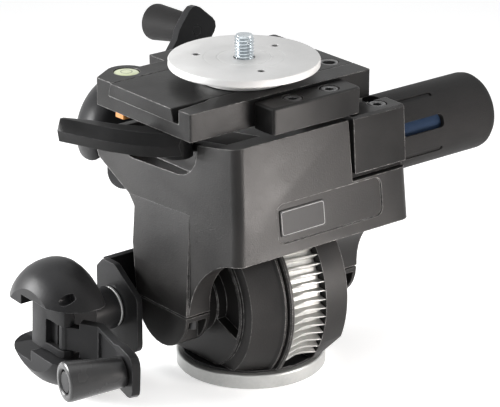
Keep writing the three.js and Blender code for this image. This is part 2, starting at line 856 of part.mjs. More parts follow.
// Winged knob and crank. In its own frame z runs outwards along the worm and x along the arm.
function makeCrank(parent, prefix, drive, wormLength, wormOffset, wormFacing, stub, armLean) {
  const threadStart = wormOffset - wormLength / 2;
  const shaftEnd = knobStart - boreDepth + wingHoleDepth;
  const turnedThread = moved(wormThread(drive, wormLength), turnAboutZ(wormFacing));
  const thread = moved(turnedThread, shift(0, 0, wormOffset));
  const worm = thread.add(rod('z', shaftRadius, threadStart - stub, shaftEnd, [0, 0], 12));
  addMesh(parent, `${prefix}_worm`, worm, blackSteel());

  const collar = pipe('z', shaftRadius + seat, collarRadius, 0, collarWidth, [0, 0], 20);
  addMesh(parent, `${prefix}_collar`, collar, silver());

  const hubStart = collarWidth + seat;
  let knob = turned([
    [hubStart, 0],
    [hubStart, knobHubRadius],
    [knobStart, knobHubRadius],
    ...wingShares.map(([a, b]) => [knobStart + a * knobDepth, b * knobRadius]),
    [knobEnd, 0],
  ], 'z', [0, 0], 20);
  const bridgeTop = knobStart + bridgeDepth;
  const far = knobRadius + overrun;
  const below = knobStart - overrun;
  const above = knobEnd + overrun;
  knob = knob.subtract(box(bridgeHalf, far, -channelHalf, channelFar, below, above));
  knob = knob.subtract(box(-far, -bridgeHalf, -channelFar, channelHalf, below, above));
  knob = knob.subtract(box(-seat, far, -channelHalf, channelFar, bridgeTop, above));
  knob = knob.subtract(box(-far, 0, -channelFar, channelHalf, bridgeTop, above));
  const notchBack = -hingeBlockBack - seat;
  knob = knob.subtract(box(notchBack, 0, 0, hingeBlockFar + seat, bridgeTop, above));
  knob = knob.subtract(rod('z', shaftRadius + seat, hubStart - overrun, shaftEnd + seat, [0, 0], 12));
  const wingHole = [wingHoleAlong, wingHoleAcross];
  knob = knob.subtract(rod('z', wingHoleRadius, wingHoleFloor, above, wingHole, 12));
  addMesh(parent, `${prefix}_knob`, knob, satinBlack());

  const blockBottom = bridgeTop + seat;
  const blockTop = crankHingeU + hingeBlockRise;
  const blockOutline = rounded([
    [-hingeBlockBack, blockBottom, 0],
    [hingeOut + hingeEarRadius, crankHingeU - hingeEarRadius - seat, hingeEarRadius],
    [hingeOut + hingeEarRadius, crankHingeU + hingeEarRadius, hingeEarRadius],
    [hingeOut / 2, crankHingeU + hingeEarRadius, 0],
    [hingeCrest, blockTop, 0],
    [-hingeBlockBack, blockTop, crankPinRadius],
  ], 2);
  const slotStart = hingeOut - hingeBlockHalf;
  let block = prism(blockOutline, 'y', -hingeBlockHalf, hingeBlockFar);
  block = block.subtract(box(slotStart, far, -hingeSlot, hingeSlot, blockBottom - overrun, above));
  block = block.subtract(rod('y', crankPinRadius + seat, -far, far, [hingeOut, crankHingeU], 10));
  addMesh(parent, `${prefix}_hinge_block`, block, satinBlack());

  const pin = rod('y', crankPinRadius, -hingeBlockHalf, hingeBlockFar, [hingeOut, crankHingeU], 10);
  addMesh(parent, `${prefix}_hinge_pin`, pin, blackSteel());

  // The arm and its roller swing about the hinge, and stand out by the lean at rest.
  const swing = new THREE.Group();
  swing.position.set(hingeOut, 0, crankHingeU);
  swing.rotation.y = -radians(armLean);
  const folding = new THREE.Group();
  folding.position.set(-hingeOut, 0, -crankHingeU);
  swing.add(folding);
  parent.add(swing);

  const slant = Math.SQRT1_2;
  const shoulder = [hingeOut + armShoulder * slant, crankHingeU - armShoulder * slant];
  const half = (armThickness / 2) * slant;
  const drop = shoulder[1] - half - armInner;
  const climb = shoulder[1] + half - armOuter;
  const plateStart = shoulder[0] + half + climb;
  const slopeOutline = [
    [shoulder[0] - half, shoulder[1] - half],
    [shoulder[0] - half + drop, armInner],
    [plateStart + armPlate, armInner],
    [plateStart + armPlate, armOuter],
    [plateStart, armOuter],
    [shoulder[0] + half, shoulder[1] + half],
  ];
  const neckOutline = [
    [hingeOut - half, crankHingeU - half],
    [shoulder[0] - half + seat, shoulder[1] - half - seat],
    [shoulder[0] + half + seat, shoulder[1] + half - seat],
    [hingeOut + half, crankHingeU + half],
  ];
  const widening = armReach - armEndHalf / 2;
  const endRound = armEndHalf / 2;
  const plateOutline = rounded([
    [plateStart, -armHalf, 0],
    [widening - endRound, -armHalf, 0],
    [widening, -armEndHalf, 0],
    [armReach + armEndHalf, -armEndHalf, endRound],
    [armReach + armEndHalf, armEndHalf, endRound],
    [widening, armEndHalf, 0],
    [widening - endRound, armHalf, 0],
    [plateStart, armHalf, 0],
  ], 3);
  let arm = prism(slopeOutline, 'y', -armHalf, armHalf);
  arm = arm.add(prism(neckOutline, 'y', -knuckleHalf, knuckleHalf));
  arm = arm.add(rod('y', knuckleRadius, -knuckleHalf, knuckleHalf, [hingeOut, crankHingeU], 12));
  arm = arm.add(prism(plateOutline, 'z', armInner, armOuter));
  const pocketStart = plateStart + armPocketRim / 2;
  const pocketEnd = widening - armPocketRim;
  const pocketOutline = rounded([
    [pocketStart, armPocketRim - armHalf, armPocketRim],
    [pocketEnd, armPocketRim - armHalf, armPocketRim],
    [pocketEnd, armHalf - armPocketRim, armPocketRim],
    [pocketStart, armHalf - armPocketRim, armPocketRim],
  ], 2);
  arm = arm.subtract(prism(pocketOutline, 'z', armOuter - armPocketDepth, armOuter + overrun));
  arm = arm.subtract(rod('y', crankPinRadius + seat, -far, far, [hingeOut, crankHingeU], 10));
  const axlePlace = [armReach, 0];
  arm = arm.subtract(rod('z', gripAxleRadius + seat, 0, above, axlePlace, 12));
  addMesh(folding, `${prefix}_arm`, arm, satinBlack());

  const gripStart = armOuter + seat;
  const gripEnd = armOuter + gripLength;
  const headTop = gripEnd - (gripRecess - gripAxleHeadHeight - seat);
  const axle = turned([
    [armInner, 0],
    [armInner, gripAxleRadius],
    [headTop - gripAxleHeadHeight, gripAxleRadius],
    [headTop - gripAxleHeadHeight, gripAxleHead],
    [headTop, gripAxleHead],
    [headTop, 0],
  ], 'z', axlePlace, 12);
  addMesh(folding, `${prefix}_grip_axle`, axle, blackSteel());

  const grip = turned([
    [gripStart, gripAxleRadius + seat],
    [gripStart, gripRootRadius],
    [gripEnd - gripBevel, gripEndRadius],
    [gripEnd, gripEndRadius - gripBevel],
    [gripEnd, gripAxleHead + freeGap],
    [gripEnd - gripRecess, gripAxleHead + freeGap],
    [gripEnd - gripRecess, gripAxleRadius + seat],
    [gripStart, gripAxleRadius + seat],
  ], 'z', axlePlace, 20);
  addMesh(folding, `${prefix}_grip`, grip, mattBlack());
}

function placeCrank(origin, outwards, along) {
  const group = new THREE.Group();
  const across = outwards.clone().cross(along);
  group.setRotationFromMatrix(new THREE.Matrix4().makeBasis(along, across, outwards));
  group.position.set(...origin);
  head.add(group);
  return group;
}

function makePanCrank() {
  const dip = radians(panCrankDip);
  const along = new THREE.Vector3(0, -Math.cos(dip), -Math.sin(dip));
  const group = placeCrank([panOrigin, panWormY, panWormHeight], new THREE.Vector3(-1, 0, 0), along);
  makeCrank(group, 'pan', panDrive, panWormLength, panOrigin, panCrankDip, 0, panArmLean);
}

function makeTiltCrank() {
  const lean = radians(tiltCrankLean);
  const along = new THREE.Vector3(Math.sin(lean), 0, Math.cos(lean));
  const origin = [tiltWheelOffset, tiltOrigin, tiltWormZ];
  const group = placeCrank(origin, new THREE.Vector3(0, 1, 0), along);
  const offset = tiltAxisY - tiltOrigin;
  const facing = 180 - tiltCrankLean;
  makeCrank(group, 'tilt', tiltDrive, tiltWormLength, offset, facing, wallThickness, tiltArmLean);
}

// Tilting body

// Half of the width of the body at a place: it widens towards the rear and downwards.
function flank(y, z) {
  return bodyHalfTop + rearFlareShare * (y - bodyTopFront) + lowFlareShare * (bodyTop - z);
}

// The front wall leans back towards the top.
function frontWall(z) {
  return bodyFront + ((bodyTopFront - bodyFront) * (z - chinHeight)) / (bodyTop - chinHeight);
}

// The left wall widens more below the top of the seam.
function leftWall(y, z) {
  return flank(y, z) + chinFlareShare * Math.max(0, seamTop - z);
}

// Everything beyond one side, between two heights. Each level gives [y, half width] at its front and
// at its back.
function beyond(side, low, high, [lowFront, lowBack], [highFront, highBack]) {
  const far = earX + overrun;
  const levels = [[lowFront, lowBack], [highFront, highBack]].map(([front, back]) => [
    [side * front[1], front[0]],
    [side * back[1], back[0]],
    [side * far, back[0]],
    [side * far, front[0]],
  ]);
  return stack(levels, [low, high], 'z');
}

function makeBody() {
  const chinRadius = legFront - bodyFront;
  const splitTop = tiltAxisZ + capSplit;
  const side = [
    [legFront, splitTop],
    ...arc(bodyFront, chinHeight - chinRadius, chinRadius, 0, 90, 10),
    [frontWall(chinHeight) - overrun, chinHeight],
    [frontWall(chinHeight) - overrun, bodyTop],
    ...rounded([
      [bodyBack, bodyTop, frontCorner],
      [bodyBack, bodyBackBottom, frontCorner],
      [saddleY, saddleZ, frontCorner],
      [legRearTop, legRearHeight, 0],
    ]).slice(0, -1),
    [legRearTop, legRearHeight],
    [legRear, splitTop],
  ];
  const low = splitTop - overrun;
  const high = bodyTop + overrun;
  const plan = (z) => rounded([
    [-leftWall(frontWall(z), z), frontWall(z), frontCorner],
    [earX, frontWall(z), frontCorner],
    [earX, bodyBack + overrun, 0],
    [-leftWall(bodyBack + overrun, z), bodyBack + overrun, 0],
  ], 4);
  const planHeights = [low, seamTop, high];
  let body = prism(side, 'x', -earX, earX).intersect(stack(planHeights.map(plan), planHeights, 'z'));

  const behind = bodyBack + 2 * overrun;
  const ahead = bodyFront - overrun;
  const flanks = (from, to, z) => [[from, flank(from, z)], [to, flank(to, z)]];
  const upright = (from, to, width) => [[from, width], [to, width]];
  const legTop = upright(earBack, behind, legRight);
  const earFlanks = flanks(earBack, behind, earTop);
  body = body.subtract(beyond(1, earTop, high, earFlanks, flanks(earBack, behind, high)));
  body = body.subtract(beyond(1, chinHeight, earTop, legTop, earFlanks));
  const rightSide = upright(ahead, behind, legRight);
  body = body.subtract(beyond(1, low - overrun, chinHeight, rightSide, rightSide));

  // The left leg stands proud of the wall in front of the seam and runs into it above.
  const legLow = [[legFront, legLeft], [behind, legLeft]];
  const legHigh = flanks(seamTopY, behind, seamTop);
  body = body.subtract(beyond(-1, splitTop, seamTop, legLow, legHigh));
  const legOutlines = [legLow, legHigh].map(([front, back]) => [
    [-legInner, front[0]],
    [-front[1], front[0]],
    [-back[1], back[0]],
    [-legInner, back[0]],
  ]);
  const leg = stack(legOutlines, [splitTop, seamTop], 'z');
  body = body.add(leg.intersect(prism(side, 'x', -earX, earX)));

  const wormPlace = [tiltWheelOffset, tiltWormZ];
  body = body.add(turned([
    [saddleY, 0],
    [saddleY, wormBossRadius],
    [wormBossEnd - frontCorner / 4, wormBossRadius],
    [wormBossEnd, wormBossRadius - frontCorner / 4],
    [wormBossEnd, 0],
  ], 'y', wormPlace, 24));

  const axis = [tiltAxisY, tiltAxisZ];
  body = body.subtract(rod('x', drumRoom, -legInner, legInner, axis, 40));
  body = body.subtract(rod('x', trunnionRadius + seat, -trunnionEnd - seat, trunnionEnd + seat, axis, 20));

  const wormStart = tiltAxisY - tiltWormLength / 2;
  const wormEnd = tiltAxisY + tiltWormLength / 2;
  const wormRoom = tiltDrive.wormTip + freeGap;
  body = body.subtract(rod('y', wormRoom, wormStart - freeGap, wormEnd + freeGap, wormPlace, 14));
  const shaftStart = wormStart - wallThickness - freeGap;
  body = body.subtract(rod('y', shaftRadius + seat, shaftStart, wormBossEnd + overrun, wormPlace, 12));

  const tunnelHalf = tiltDrive.wormTip + freeGap + wallThickness;
  const innerLeft = leverX + leverHubRadius + freeGap + wallThickness;
  const pocketFront = trayFront + seat;
  const pocketBack = bodyBack - wallThickness - frontCorner;
  const tunnelLeft = tiltWheelOffset - tunnelHalf;
  const tunnelRight = tiltWheelOffset + tunnelHalf;
  body = body.subtract(box(innerLeft, tunnelLeft, pocketFront, pocketBack, pocketFloor, high));
  const blockRoom = blockLeft - blockReveal;
  const pocketRight = blockRoom - wallThickness / 2;
  const rightFront = blockBack + wallThickness;
  body = body.subtract(box(tunnelRight, pocketRight, pocketFront, rightFront, pocketFloor, high));
  const wideRight = bodyHalfTop - wallThickness;
  body = body.subtract(box(tunnelRight, wideRight, rightFront - seat, pocketBack, pocketFloor, high));

  const notchInner = leverX + leverHubRadius + freeGap;
  const notch = rounded([
    [leverNotchFront, leverNotchFloor, leverNotchCorner],
    [leverNotchBack, leverNotchFloor, leverNotchCorner / 2],
    [leverNotchBack, high, 0],
    [leverNotchFront, high, 0],
  ], 4);
  body = body.subtract(prism(notch, 'x', -earX, notchInner));
  body = body.subtract(box(-earX, notchInner, sillFront, leverNotchBack, sillHeight, high));

  body = body.subtract(box(blockRoom, earX + overrun, bodyFront, blockBack + seat, earTop, high));
  const tubePlace = [gripAxisY, gripAxisZ];
  body = body.subtract(rod('x', tubeRadius + freeGap, blockRight, earX + overrun, tubePlace, 28));
  const earInner = [legInner + 2 * wallThickness, earX - earWall];
  const earFront = frontWall(chinHeight) + 2 * earWall;
  body = body.subtract(box(
    earInner[0], earInner[1], earFront, earBack + overrun, chinHeight + earWall, earTop - earWall,
  ));

  body = body.subtract(wallPocket(
    panelLeft, panelRight, panelBottom, panelTop, panelCorner, -overrun, panelDepth,
  ));
  capScrewPlaces().forEach(([x, y]) => {
    const top = tiltAxisZ + capScrewRise + seat;
    body = body.subtract(rod('z', capScrewRadius + seat, tiltAxisZ - overrun, top, [x, y], 8));
  });
  addMesh(head, 'body_casting', body, blackPaint());
}

// A patch of the front wall between two depths behind its face.
function wallPocket(left, right, bottom, top, corner, from, to) {
  const face = rounded([
    [left, bottom, corner],
    [right, bottom, corner],
    [right, top, corner],
    [left, top, corner],
  ]);
  const front = frontWall(bottom) - 2 * overrun;
  const back = frontWall(top) + 2 * overrun;
  const layer = [
    [frontWall(bottom) + from, bottom],
    [frontWall(bottom) + to, bottom],
    [frontWall(top) + to, top],
    [frontWall(top) + from, top],
  ];
  return prism(face, 'y', front, back).intersect(prism(layer, 'x', left - overrun, right + overrun));
}

function capScrewPlaces() {
  const places = [];
  [-(legInner + legLeft) / 2, (legInner + legRight) / 2].forEach((x) => {
    [-1, 1].forEach((end) => places.push([x, tiltAxisY + end * capScrewOffset]));
  });
  return places;
}

function makeCaps() {
  const axis = [tiltAxisY, tiltAxisZ];
  const topEdge = tiltAxisZ - capSplit;
  const lowEdge = tiltAxisZ - capRadius;
  const earBottom = topEdge - capFlange;
  const headTop = earBottom - seat;
  const start = (Math.asin(capSplit / capRadius) * 180) / Math.PI;
  const half = arc(tiltAxisY, tiltAxisZ, capRadius, 180 + start, 360 - start, 14);
  const bore = trunnionEnd + seat;
  const caps = [['left_cap', -legLeft, -legInner], ['right_cap', legInner, legRight]];
  caps.forEach(([name, from, to]) => {
    let cap = prism(half, 'x', from, to);
    cap = cap.subtract(rod('x', trunnionRadius + seat, -bore, bore, axis, 20));
    [-1, 1].forEach((end) => {
      const ends = [tiltAxisY + end * capPocketOut, tiltAxisY + end * (capRadius + overrun)];
      const pocketFront = Math.min(...ends);
      const pocketBack = Math.max(...ends);
      cap = cap.subtract(box(
        from + capWall, to - capWall, pocketFront, pocketBack, lowEdge - overrun, earBottom,
      ));
    });
    capScrewPlaces().forEach(([x, y]) => {
      cap = cap.subtract(rod('z', capScrewRadius + seat, lowEdge, tiltAxisZ, [x, y], 8));
    });
    addMesh(head, name, cap, blackPaint());
  });
  capScrewPlaces().forEach(([x, y], i) => {
    const profile = [
      [headTop - capScrewHeadHeight, 0],
      [headTop - capScrewHeadHeight, capScrewHead],
      [headTop, capScrewHead],
      [headTop, capScrewRadius],
      [tiltAxisZ + capScrewRise, capScrewRadius],
      [tiltAxisZ + capScrewRise, 0],
    ];
    addMesh(head, `cap_screw_${i + 1}`, turned(profile, 'z', [x, y], 10), blackSteel());
  });
}

function makeLabel() {
  const inner = panelDepth - seat;
  const plate = wallPocket(
    labelLeft, labelRight, labelBottom, labelTop, panelCorner / 4, inner - labelThickness, inner,
  );
  addMesh(head, 'label_plate', plate, labelGrey());
}

// End block with the room for the lateral worm and its wheel
function makeEndBlock() {
  const bottom = earTop + seat;
  const lean = frontWall(bodyTop) - frontWall(bottom);
  const side = [
    [blockFront + blockRebate, bottom],
    [blockBack, bottom],
    [blockBack, bodyTop],
    [blockFront + lean / 2 + blockBevel, bodyTop],
    [blockFront + lean / 2, bodyTop - blockBevel],
    [blockFront, bottom + blockRebate],
    [blockFront + blockRebate, bottom + blockRebate],
  ];
  let block = prism(side, 'x', blockLeft, blockRight);
  const wormPlace = [gripAxisY, gripAxisZ];
  const roomStart = hingeX - lateralWormLength / 2 - freeGap;
  const roomEnd = hingeX + lateralWormLength / 2 + freeGap;
  block = block.subtract(rod('x', lateralDrive.wormTip + freeGap, roomStart, roomEnd, wormPlace, 12));
  const shaftStart = roomStart - wallThickness / 2;
  block = block.subtract(rod('x', shaftRadius + seat, shaftStart, blockRight + overrun, wormPlace, 12));

  const rim = lateralDrive.wheelThroat + rootClearance;
  const wheelFront = gripAxisY - lateralWheelWidth / 2 - freeGap;
  const wheelBack = gripAxisY + lateralWheelWidth / 2 + freeGap;
  block = block.subtract(rod('y', rim + freeGap, wheelFront, wheelBack, [hingeX, hingeZ], 16));
  block = block.subtract(box(
    hingeX - rim - freeGap, hingeX + rim + freeGap, wheelFront, wheelBack, hingeZ, bodyTop + overrun,
  ));

  const swing = radians(lateralRange);
  const underTray = trayBottom - hingeZ - freeGap;
  const trayOver = trayHalf - hingeX;
  const reach = trayOver * Math.cos(swing) + underTray * Math.sin(swing) + freeGap;
  const drop = underTray * Math.cos(swing) - trayOver * Math.sin(swing) - freeGap;
  const slopeStart = (underTray - (bodyTop - hingeZ) * Math.cos(swing)) / Math.sin(swing);
  const far = blockRight + overrun;
  const swingRoom = [
    [hingeX + slopeStart, bodyTop],
    [hingeX + reach, hingeZ + drop],
    [far, hingeZ + drop],
    [far, bodyTop + overrun],
    [hingeX + slopeStart, bodyTop + overrun],
  ];
  block = block.subtract(prism(swingRoom, 'y', blockWallRear, blockBack + overrun));

  const pinFront = blockFront + 2 * wallThickness;
  const pinPlace = [hingeX, hingeZ];
  const pinBore = hingePinRadius + seat;
  block = block.subtract(rod('y', pinBore, pinFront - seat, blockBack + overrun, pinPlace, 12));
  const screwTop = bodyTop - screwSink;
  const screwPlace = [blockScrewX, blockScrewY];
  const shankEnd = bottom + wallThickness;
  const counterbore = screwHeadRadius + freeGap;
  const counterFloor = screwTop - screwHeadHeight - seat;
  block = block.subtract(rod('z', counterbore, counterFloor, bodyTop + overrun, screwPlace, 16));
  block = block.subtract(rod('z', screwRadius + seat, shankEnd - seat, bodyTop, screwPlace, 12));
  addMesh(head, 'end_block', block, blackPaint());

  const screw = socketScrew(
    blockScrewX, blockScrewY, screwTop, screwHeadRadius, screwHeadHeight, screwRadius, shankEnd,
  );
  addMesh(head, 'block_screw', screw, blackSteel());
  const pin = rod('y', hingePinRadius, pinFront, blockBack, pinPlace, 12);
  addMesh(head, 'lateral_pin', pin, blackSteel());
}

// Lateral worm, its grip tube, the sleeve in it and its end cap
function makeLateralGrip() {
  const place = [gripAxisY, gripAxisZ];
  const shaftEnd = tubeEnd - tubeCapLength - seat;
  const toWheel = 90;
  const thread = moved(wormThread(lateralDrive, lateralWormLength), turnAboutZ(toWheel));
  const shaftStart = -lateralWormLength / 2 - wallThickness / 2;
  const shaft = rod('z', shaftRadius, shaftStart, shaftEnd - hingeX, [0, 0], 12);
  const worm = moved(moved(thread.add(shaft), zToX), shift(hingeX, gripAxisY, gripAxisZ));
  addMesh(head, 'lateral_worm', worm, blackSteel());

  const start = blockRight + seat;
  const capStart = tubeEnd - tubeCapLength;
  const inner = tubeRadius - tubeWall;
  let tube = pipe('x', inner, tubeRadius, start, capStart - seat, place, 24);
  slotAngles.forEach((degrees) => {
    const outline = rounded([
      [start - overrun, -slotWidth / 2, 0],
      [slotEnd, -slotWidth / 2, slotWidth / 3],
      [slotEnd, slotWidth / 2, slotWidth / 3],
      [start - overrun, slotWidth / 2, 0],
    ], 2);
    const cut = prism(outline, 'y', -tubeRadius - overrun, -inner + overrun);
    const turn = new THREE.Matrix4().makeRotationX(radians(-degrees));
    tube = tube.subtract(moved(moved(cut, turn), shift(0, gripAxisY, gripAxisZ)));
  });
  addMesh(head, 'grip_tube', tube, mattBlack());

  const sleeveOuter = inner - seat;
  const sleeve = pipe('x', sleeveOuter - sleeveWall, sleeveOuter, start, capStart - seat, place, 18);
  addMesh(head, 'blue_sleeve', sleeve, navy());

  const diagonal = tubeCapRound * (1 - Math.SQRT1_2);
  let cap = turned([
    [capStart - tubeSpigotLength, 0],
    [capStart - tubeSpigotLength, tubeSpigot],
    [capStart, tubeSpigot],
    [capStart, tubeRadius],
    [tubeEnd - tubeCapRound, tubeRadius],
    [tubeEnd - diagonal, tubeRadius - diagonal],
    [tubeEnd, tubeRadius - tubeCapRound],
    [tubeEnd, 0],
  ], 'x', place, 24);
  cap = cap.subtract(rod('x', shaftRadius + seat, start, capStart, place, 12));
  addMesh(head, 'tube_end_cap', cap, mattBlack());
}

// Tray
function makeTray() {
  const bubbleOuter = bubbleRadius + seat + bubbleWall;
  const around = arc(bubbleX, bubbleY, bubbleOuter, 14, 128, 7);
  const plan = [
    ...rounded([
      [-trayHalf, trayFront, trayBevel],
      [trayHalf, trayFront, trayBevel],
      [trayHalf, trayBack, 2 * trayBevel],
      [trayLugRight, trayBack, 0],
    ]).slice(0, -1),
    [trayLugRight, trayBack],
    [trayLugRight, trayLugBack],
    [trayLugLeft, trayLugBack],
    [trayLugLeft, trayBack],
    ...around,
    [-trayHalf, trayBack - trayBevel],
  ];
  let tray = prism(plan, 'z', trayBottom, trayTop);
  const channel = [
    [plateFront - plateUndercut - seat, plateBottom - seat],
    [plateBack + plateUndercut + seat, plateBottom - seat],
    [plateBack + seat, trayTop + seat],
    [plateFront - seat, trayTop + seat],
  ];
  tray = tray.subtract(prism(channel, 'x', -trayHalf - overrun, trayHalf + overrun));
  const slit = [
    [-trayHalf - overrun, plateFront],
    [-trayHalf - overrun, plateFront - slitWide],
    [slitEnd, plateFront - slitNarrow],
    [slitEnd + slitWide, plateFront],
  ];
  tray = tray.subtract(prism(slit, 'z', plateBottom - seat, trayTop + overrun));
  const bubblePlace = [bubbleX, bubbleY];
  const bubbleBore = bubbleRadius + seat;
  tray = tray.subtract(rod('z', bubbleBore, trayTop - bubbleDepth, trayTop + overrun, bubblePlace, 20));
  const pinTop = plateBottom - 2 * trayBevel;
  tray = tray.subtract(rod('z', leverPinRadius + seat, trayBottom - overrun, pinTop, [leverX, leverY], 12));
  addMesh(head, 'tray', tray, blackPaint());

  const vial = turned([
    [trayTop - bubbleDepth + seat, 0],
    [trayTop - bubbleDepth + seat, bubbleRadius],
    [trayTop - seat, bubbleRadius],
    [trayTop, bubbleRadius - 2 * seat],
    [trayTop, 0],
  ], 'z', bubblePlace, 20);
  addMesh(head, 'bubble_vial', vial, greenGlass());

  const back = trayFront - seat;
  const barPlan = (inset) => rounded([
    [barLeft + inset, barFront + inset, barCorner],
    [barRight - inset, barFront + inset, barCorner],
    [barRight - inset, back, 0],
    [barLeft + inset, back, 0],
  ], 3);
  const levels = [barPlan(0), barPlan(0), barPlan(trayBevel)];
  let bar = stack(levels, [barBottom, barTop - trayBevel, barTop], 'z');
  const headTop = barTop - screwSink;
  barScrewXs.forEach((x) => {
    const place = [x, barScrewY];
    const floor = headTop - screwHeadHeight - seat;
    bar = bar.subtract(rod('z', screwHeadRadius + freeGap, floor, barTop + overrun, place, 16));
    bar = bar.subtract(rod('z', screwRadius + seat, barBottom - overrun, barTop, place, 10));
  });
  addMesh(head, 'clamp_bar', bar, blackPaint());
  barScrewXs.forEach((x, i) => {
    const screw = socketScrew(
      x, barScrewY, headTop, screwHeadRadius, screwHeadHeight, screwRadius, barBottom,
    );
    addMesh(head, `bar_screw_${i + 1}`, screw, blackSteel());
  });
}

// Sector wheel under the tray, with the stem that carries it
function makeLateralWheel() {
  const rim = lateralDrive.wheelThroat + rootClearance;
  const facing = -90;
  const margin = 24;
  const bore = hingePinRadius + seat;
  const start = facing - margin;
  const end = facing + lateralRange + margin;
  let wheel = moved(wormWheel(lateralDrive, lateralWheelWidth, rim, bore, facing, false, start, end), zToY);
  const front = -lateralWheelWidth / 2;
  const back = lateralWheelWidth / 2;
  const hubOuter = lateralDrive.wheelRoot / 2;
  const stemTop = trayBottom - seat - hingeZ;
  wheel = wheel.add(rod('y', hubOuter, front, back, [0, 0], 16));
  wheel = wheel.add(box(-hubOuter, hubOuter, front, back, 0, stemTop));
  wheel = wheel.subtract(rod('y', bore, front - overrun, back + overrun, [0, 0], 12));
  addMesh(head, 'lateral_wheel', moved(wheel, shift(hingeX, gripAxisY, hingeZ)), whiteZinc());
}

// Release lever with its pin, and the safety catch beside it
function makeLever() {
  const top = trayBottom - seat;
  const tipX = leverX - leverReachX;
  const tipY = leverY + leverReachY;
  // Points of the blade as shares of its reach from the hub, along the outer edge and back.
  const outerShares = [[0.12, -0.16], [0.36, -0.07], [0.56, 0.12], [0.76, 0.42], [0.98, 0.9]];
  const innerShares = [[0.9, 1.0], [0.72, 0.8], [0.52, 0.5], [0.3, 0.27], [0.06, 0.16]];
  const at = ([a, b], out) => [leverX - a * leverReachX - out, leverY + b * leverReachY];
  const blade = (out) => [
    ...outerShares.map((share) => at(share, out)),
    [tipX - out / 2, tipY],
    ...innerShares.map((share) => at(share, 0)),
  ];
  let lever = stack(
    [blade(-leverSlope / 2), blade(0), blade(-leverSlope)],
    [leverBottom, leverCrease, top],
    'z',
  );
  const place = [leverX, leverY];
  const under = leverHubBottom - overrun;
  lever = lever.add(rod('z', leverHubRadius, leverHubBottom, top, place, 20));
  lever = lever.subtract(rod('z', leverPinRadius + seat, under, top + overrun, place, 12));
  const headRoom = leverHubBottom + leverPinHeadHeight + 2 * seat;
  lever = lever.subtract(rod('z', leverPinHead + seat, under, headRoom, place, 14));
  addMesh(head, 'release_lever', lever, satinBlack());

  const pinTop = plateBottom - 2 * trayBevel - seat;
  const pin = turned([
    [leverHubBottom + seat, 0],
    [leverHubBottom + seat, leverPinHead],
    [leverHubBottom + seat + leverPinHeadHeight, leverPinHead],
    [leverHubBottom + seat + leverPinHeadHeight, leverPinRadius],
    [pinTop, leverPinRadius],
    [pinTop, 0],
  ], 'z', place, 12);
  addMesh(head, 'lever_pin', pin, blackSteel());

  const slide = rounded([
    [catchX - catchWidth / 2, catchY - catchLength / 2, catchWidth / 5],
    [catchX + catchWidth / 2, catchY - catchLength / 2, catchWidth / 5],
    [catchX + catchWidth / 2, catchY + catchLength / 2, catchWidth / 5],
    [catchX - catchWidth / 2, catchY + catchLength / 2, catchWidth / 5],
  ], 3);
  addMesh(head, 'safety_catch', prism(slide, 'z', top - catchHeight, top), orange());
}

// Camera plate with the ferrule of its hole, the disc, the stud and the grub screws
function makeCameraPlate() {
  const section = [
    [plateFront - plateUndercut, plateBottom],
    [plateBack + plateUndercut, plateBottom],
    [plateBack, trayTop],
    [plateFront, trayTop],
  ];
  const ferrulePlace = [ferruleX, ferruleY];
  const discPlace = [discX, discY];
  const studStart = trayTop - plateDepth / 2;
  let plate = prism(section, 'x', plateLeft, trayHalf);
  const above = trayTop + overrun;
  plate = plate.subtract(rod('z', ferruleRadius + seat, plateBottom - overrun, above, ferrulePlace, 18));
  plate = plate.subtract(rod('z', studRadius + seat, studStart - seat, above, discPlace, 16));
  addMesh(head, 'camera_plate', plate, blackPaint());
  const ferrule = pipe('z', ferruleBore, ferruleRadius, plateBottom, trayTop, ferrulePlace, 18);
  addMesh(head, 'plate_ferrule', ferrule, silver());

  const discBottom = discTop - discThickness;
  let disc = turned([
    [trayTop + seat, studRadius + seat],
    [trayTop + seat, discNeck],
    [discBottom, discNeck],
    [discBottom, discRadius - discBevel],
    [discBottom + discBevel, discRadius],
    [discTop - discBevel, discRadius],
    [discTop, discRadius - discBevel],
    [discTop, studRadius + seat],
    [trayTop + seat, studRadius + seat],
  ], 'z', discPlace, 28);
  const grubPlaces = grubAngles.map((degrees) => arc(discX, discY, grubCircle, degrees, degrees, 1)[0]);
  const grubStart = discBottom - overrun;
  grubPlaces.forEach((place) => {
    disc = disc.subtract(rod('z', grubRadius + seat, grubStart, discTop + overrun, place, 8));
  });
  addMesh(head, 'camera_disc', disc, silver());
  const stud = rod('z', studRadius, studStart, discTop + studHeight, discPlace, 16);
  addMesh(head, 'camera_stud', stud, whiteZinc());
  grubPlaces.forEach((place, i) => {
    const screw = rod('z', grubRadius, discBottom, discTop - seat, place, 8);
    addMesh(head, `grub_screw_${i + 1}`, screw, blackSteel());
  });
}

makeBase();
makeLowerCasting();
makeTiltWheel();
makeTrunnions();
makePanHousing();
makePanCrank();
makeBody();
makeCaps();
makeLabel();
makeTiltCrank();
makeEndBlock();
makeLateralGrip();
makeTray();
makeLateralWheel();
makeLever();
makeCameraPlate();

export default head;
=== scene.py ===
import json
import math

import bmesh
import bpy
from mathutils import Matrix, Vector


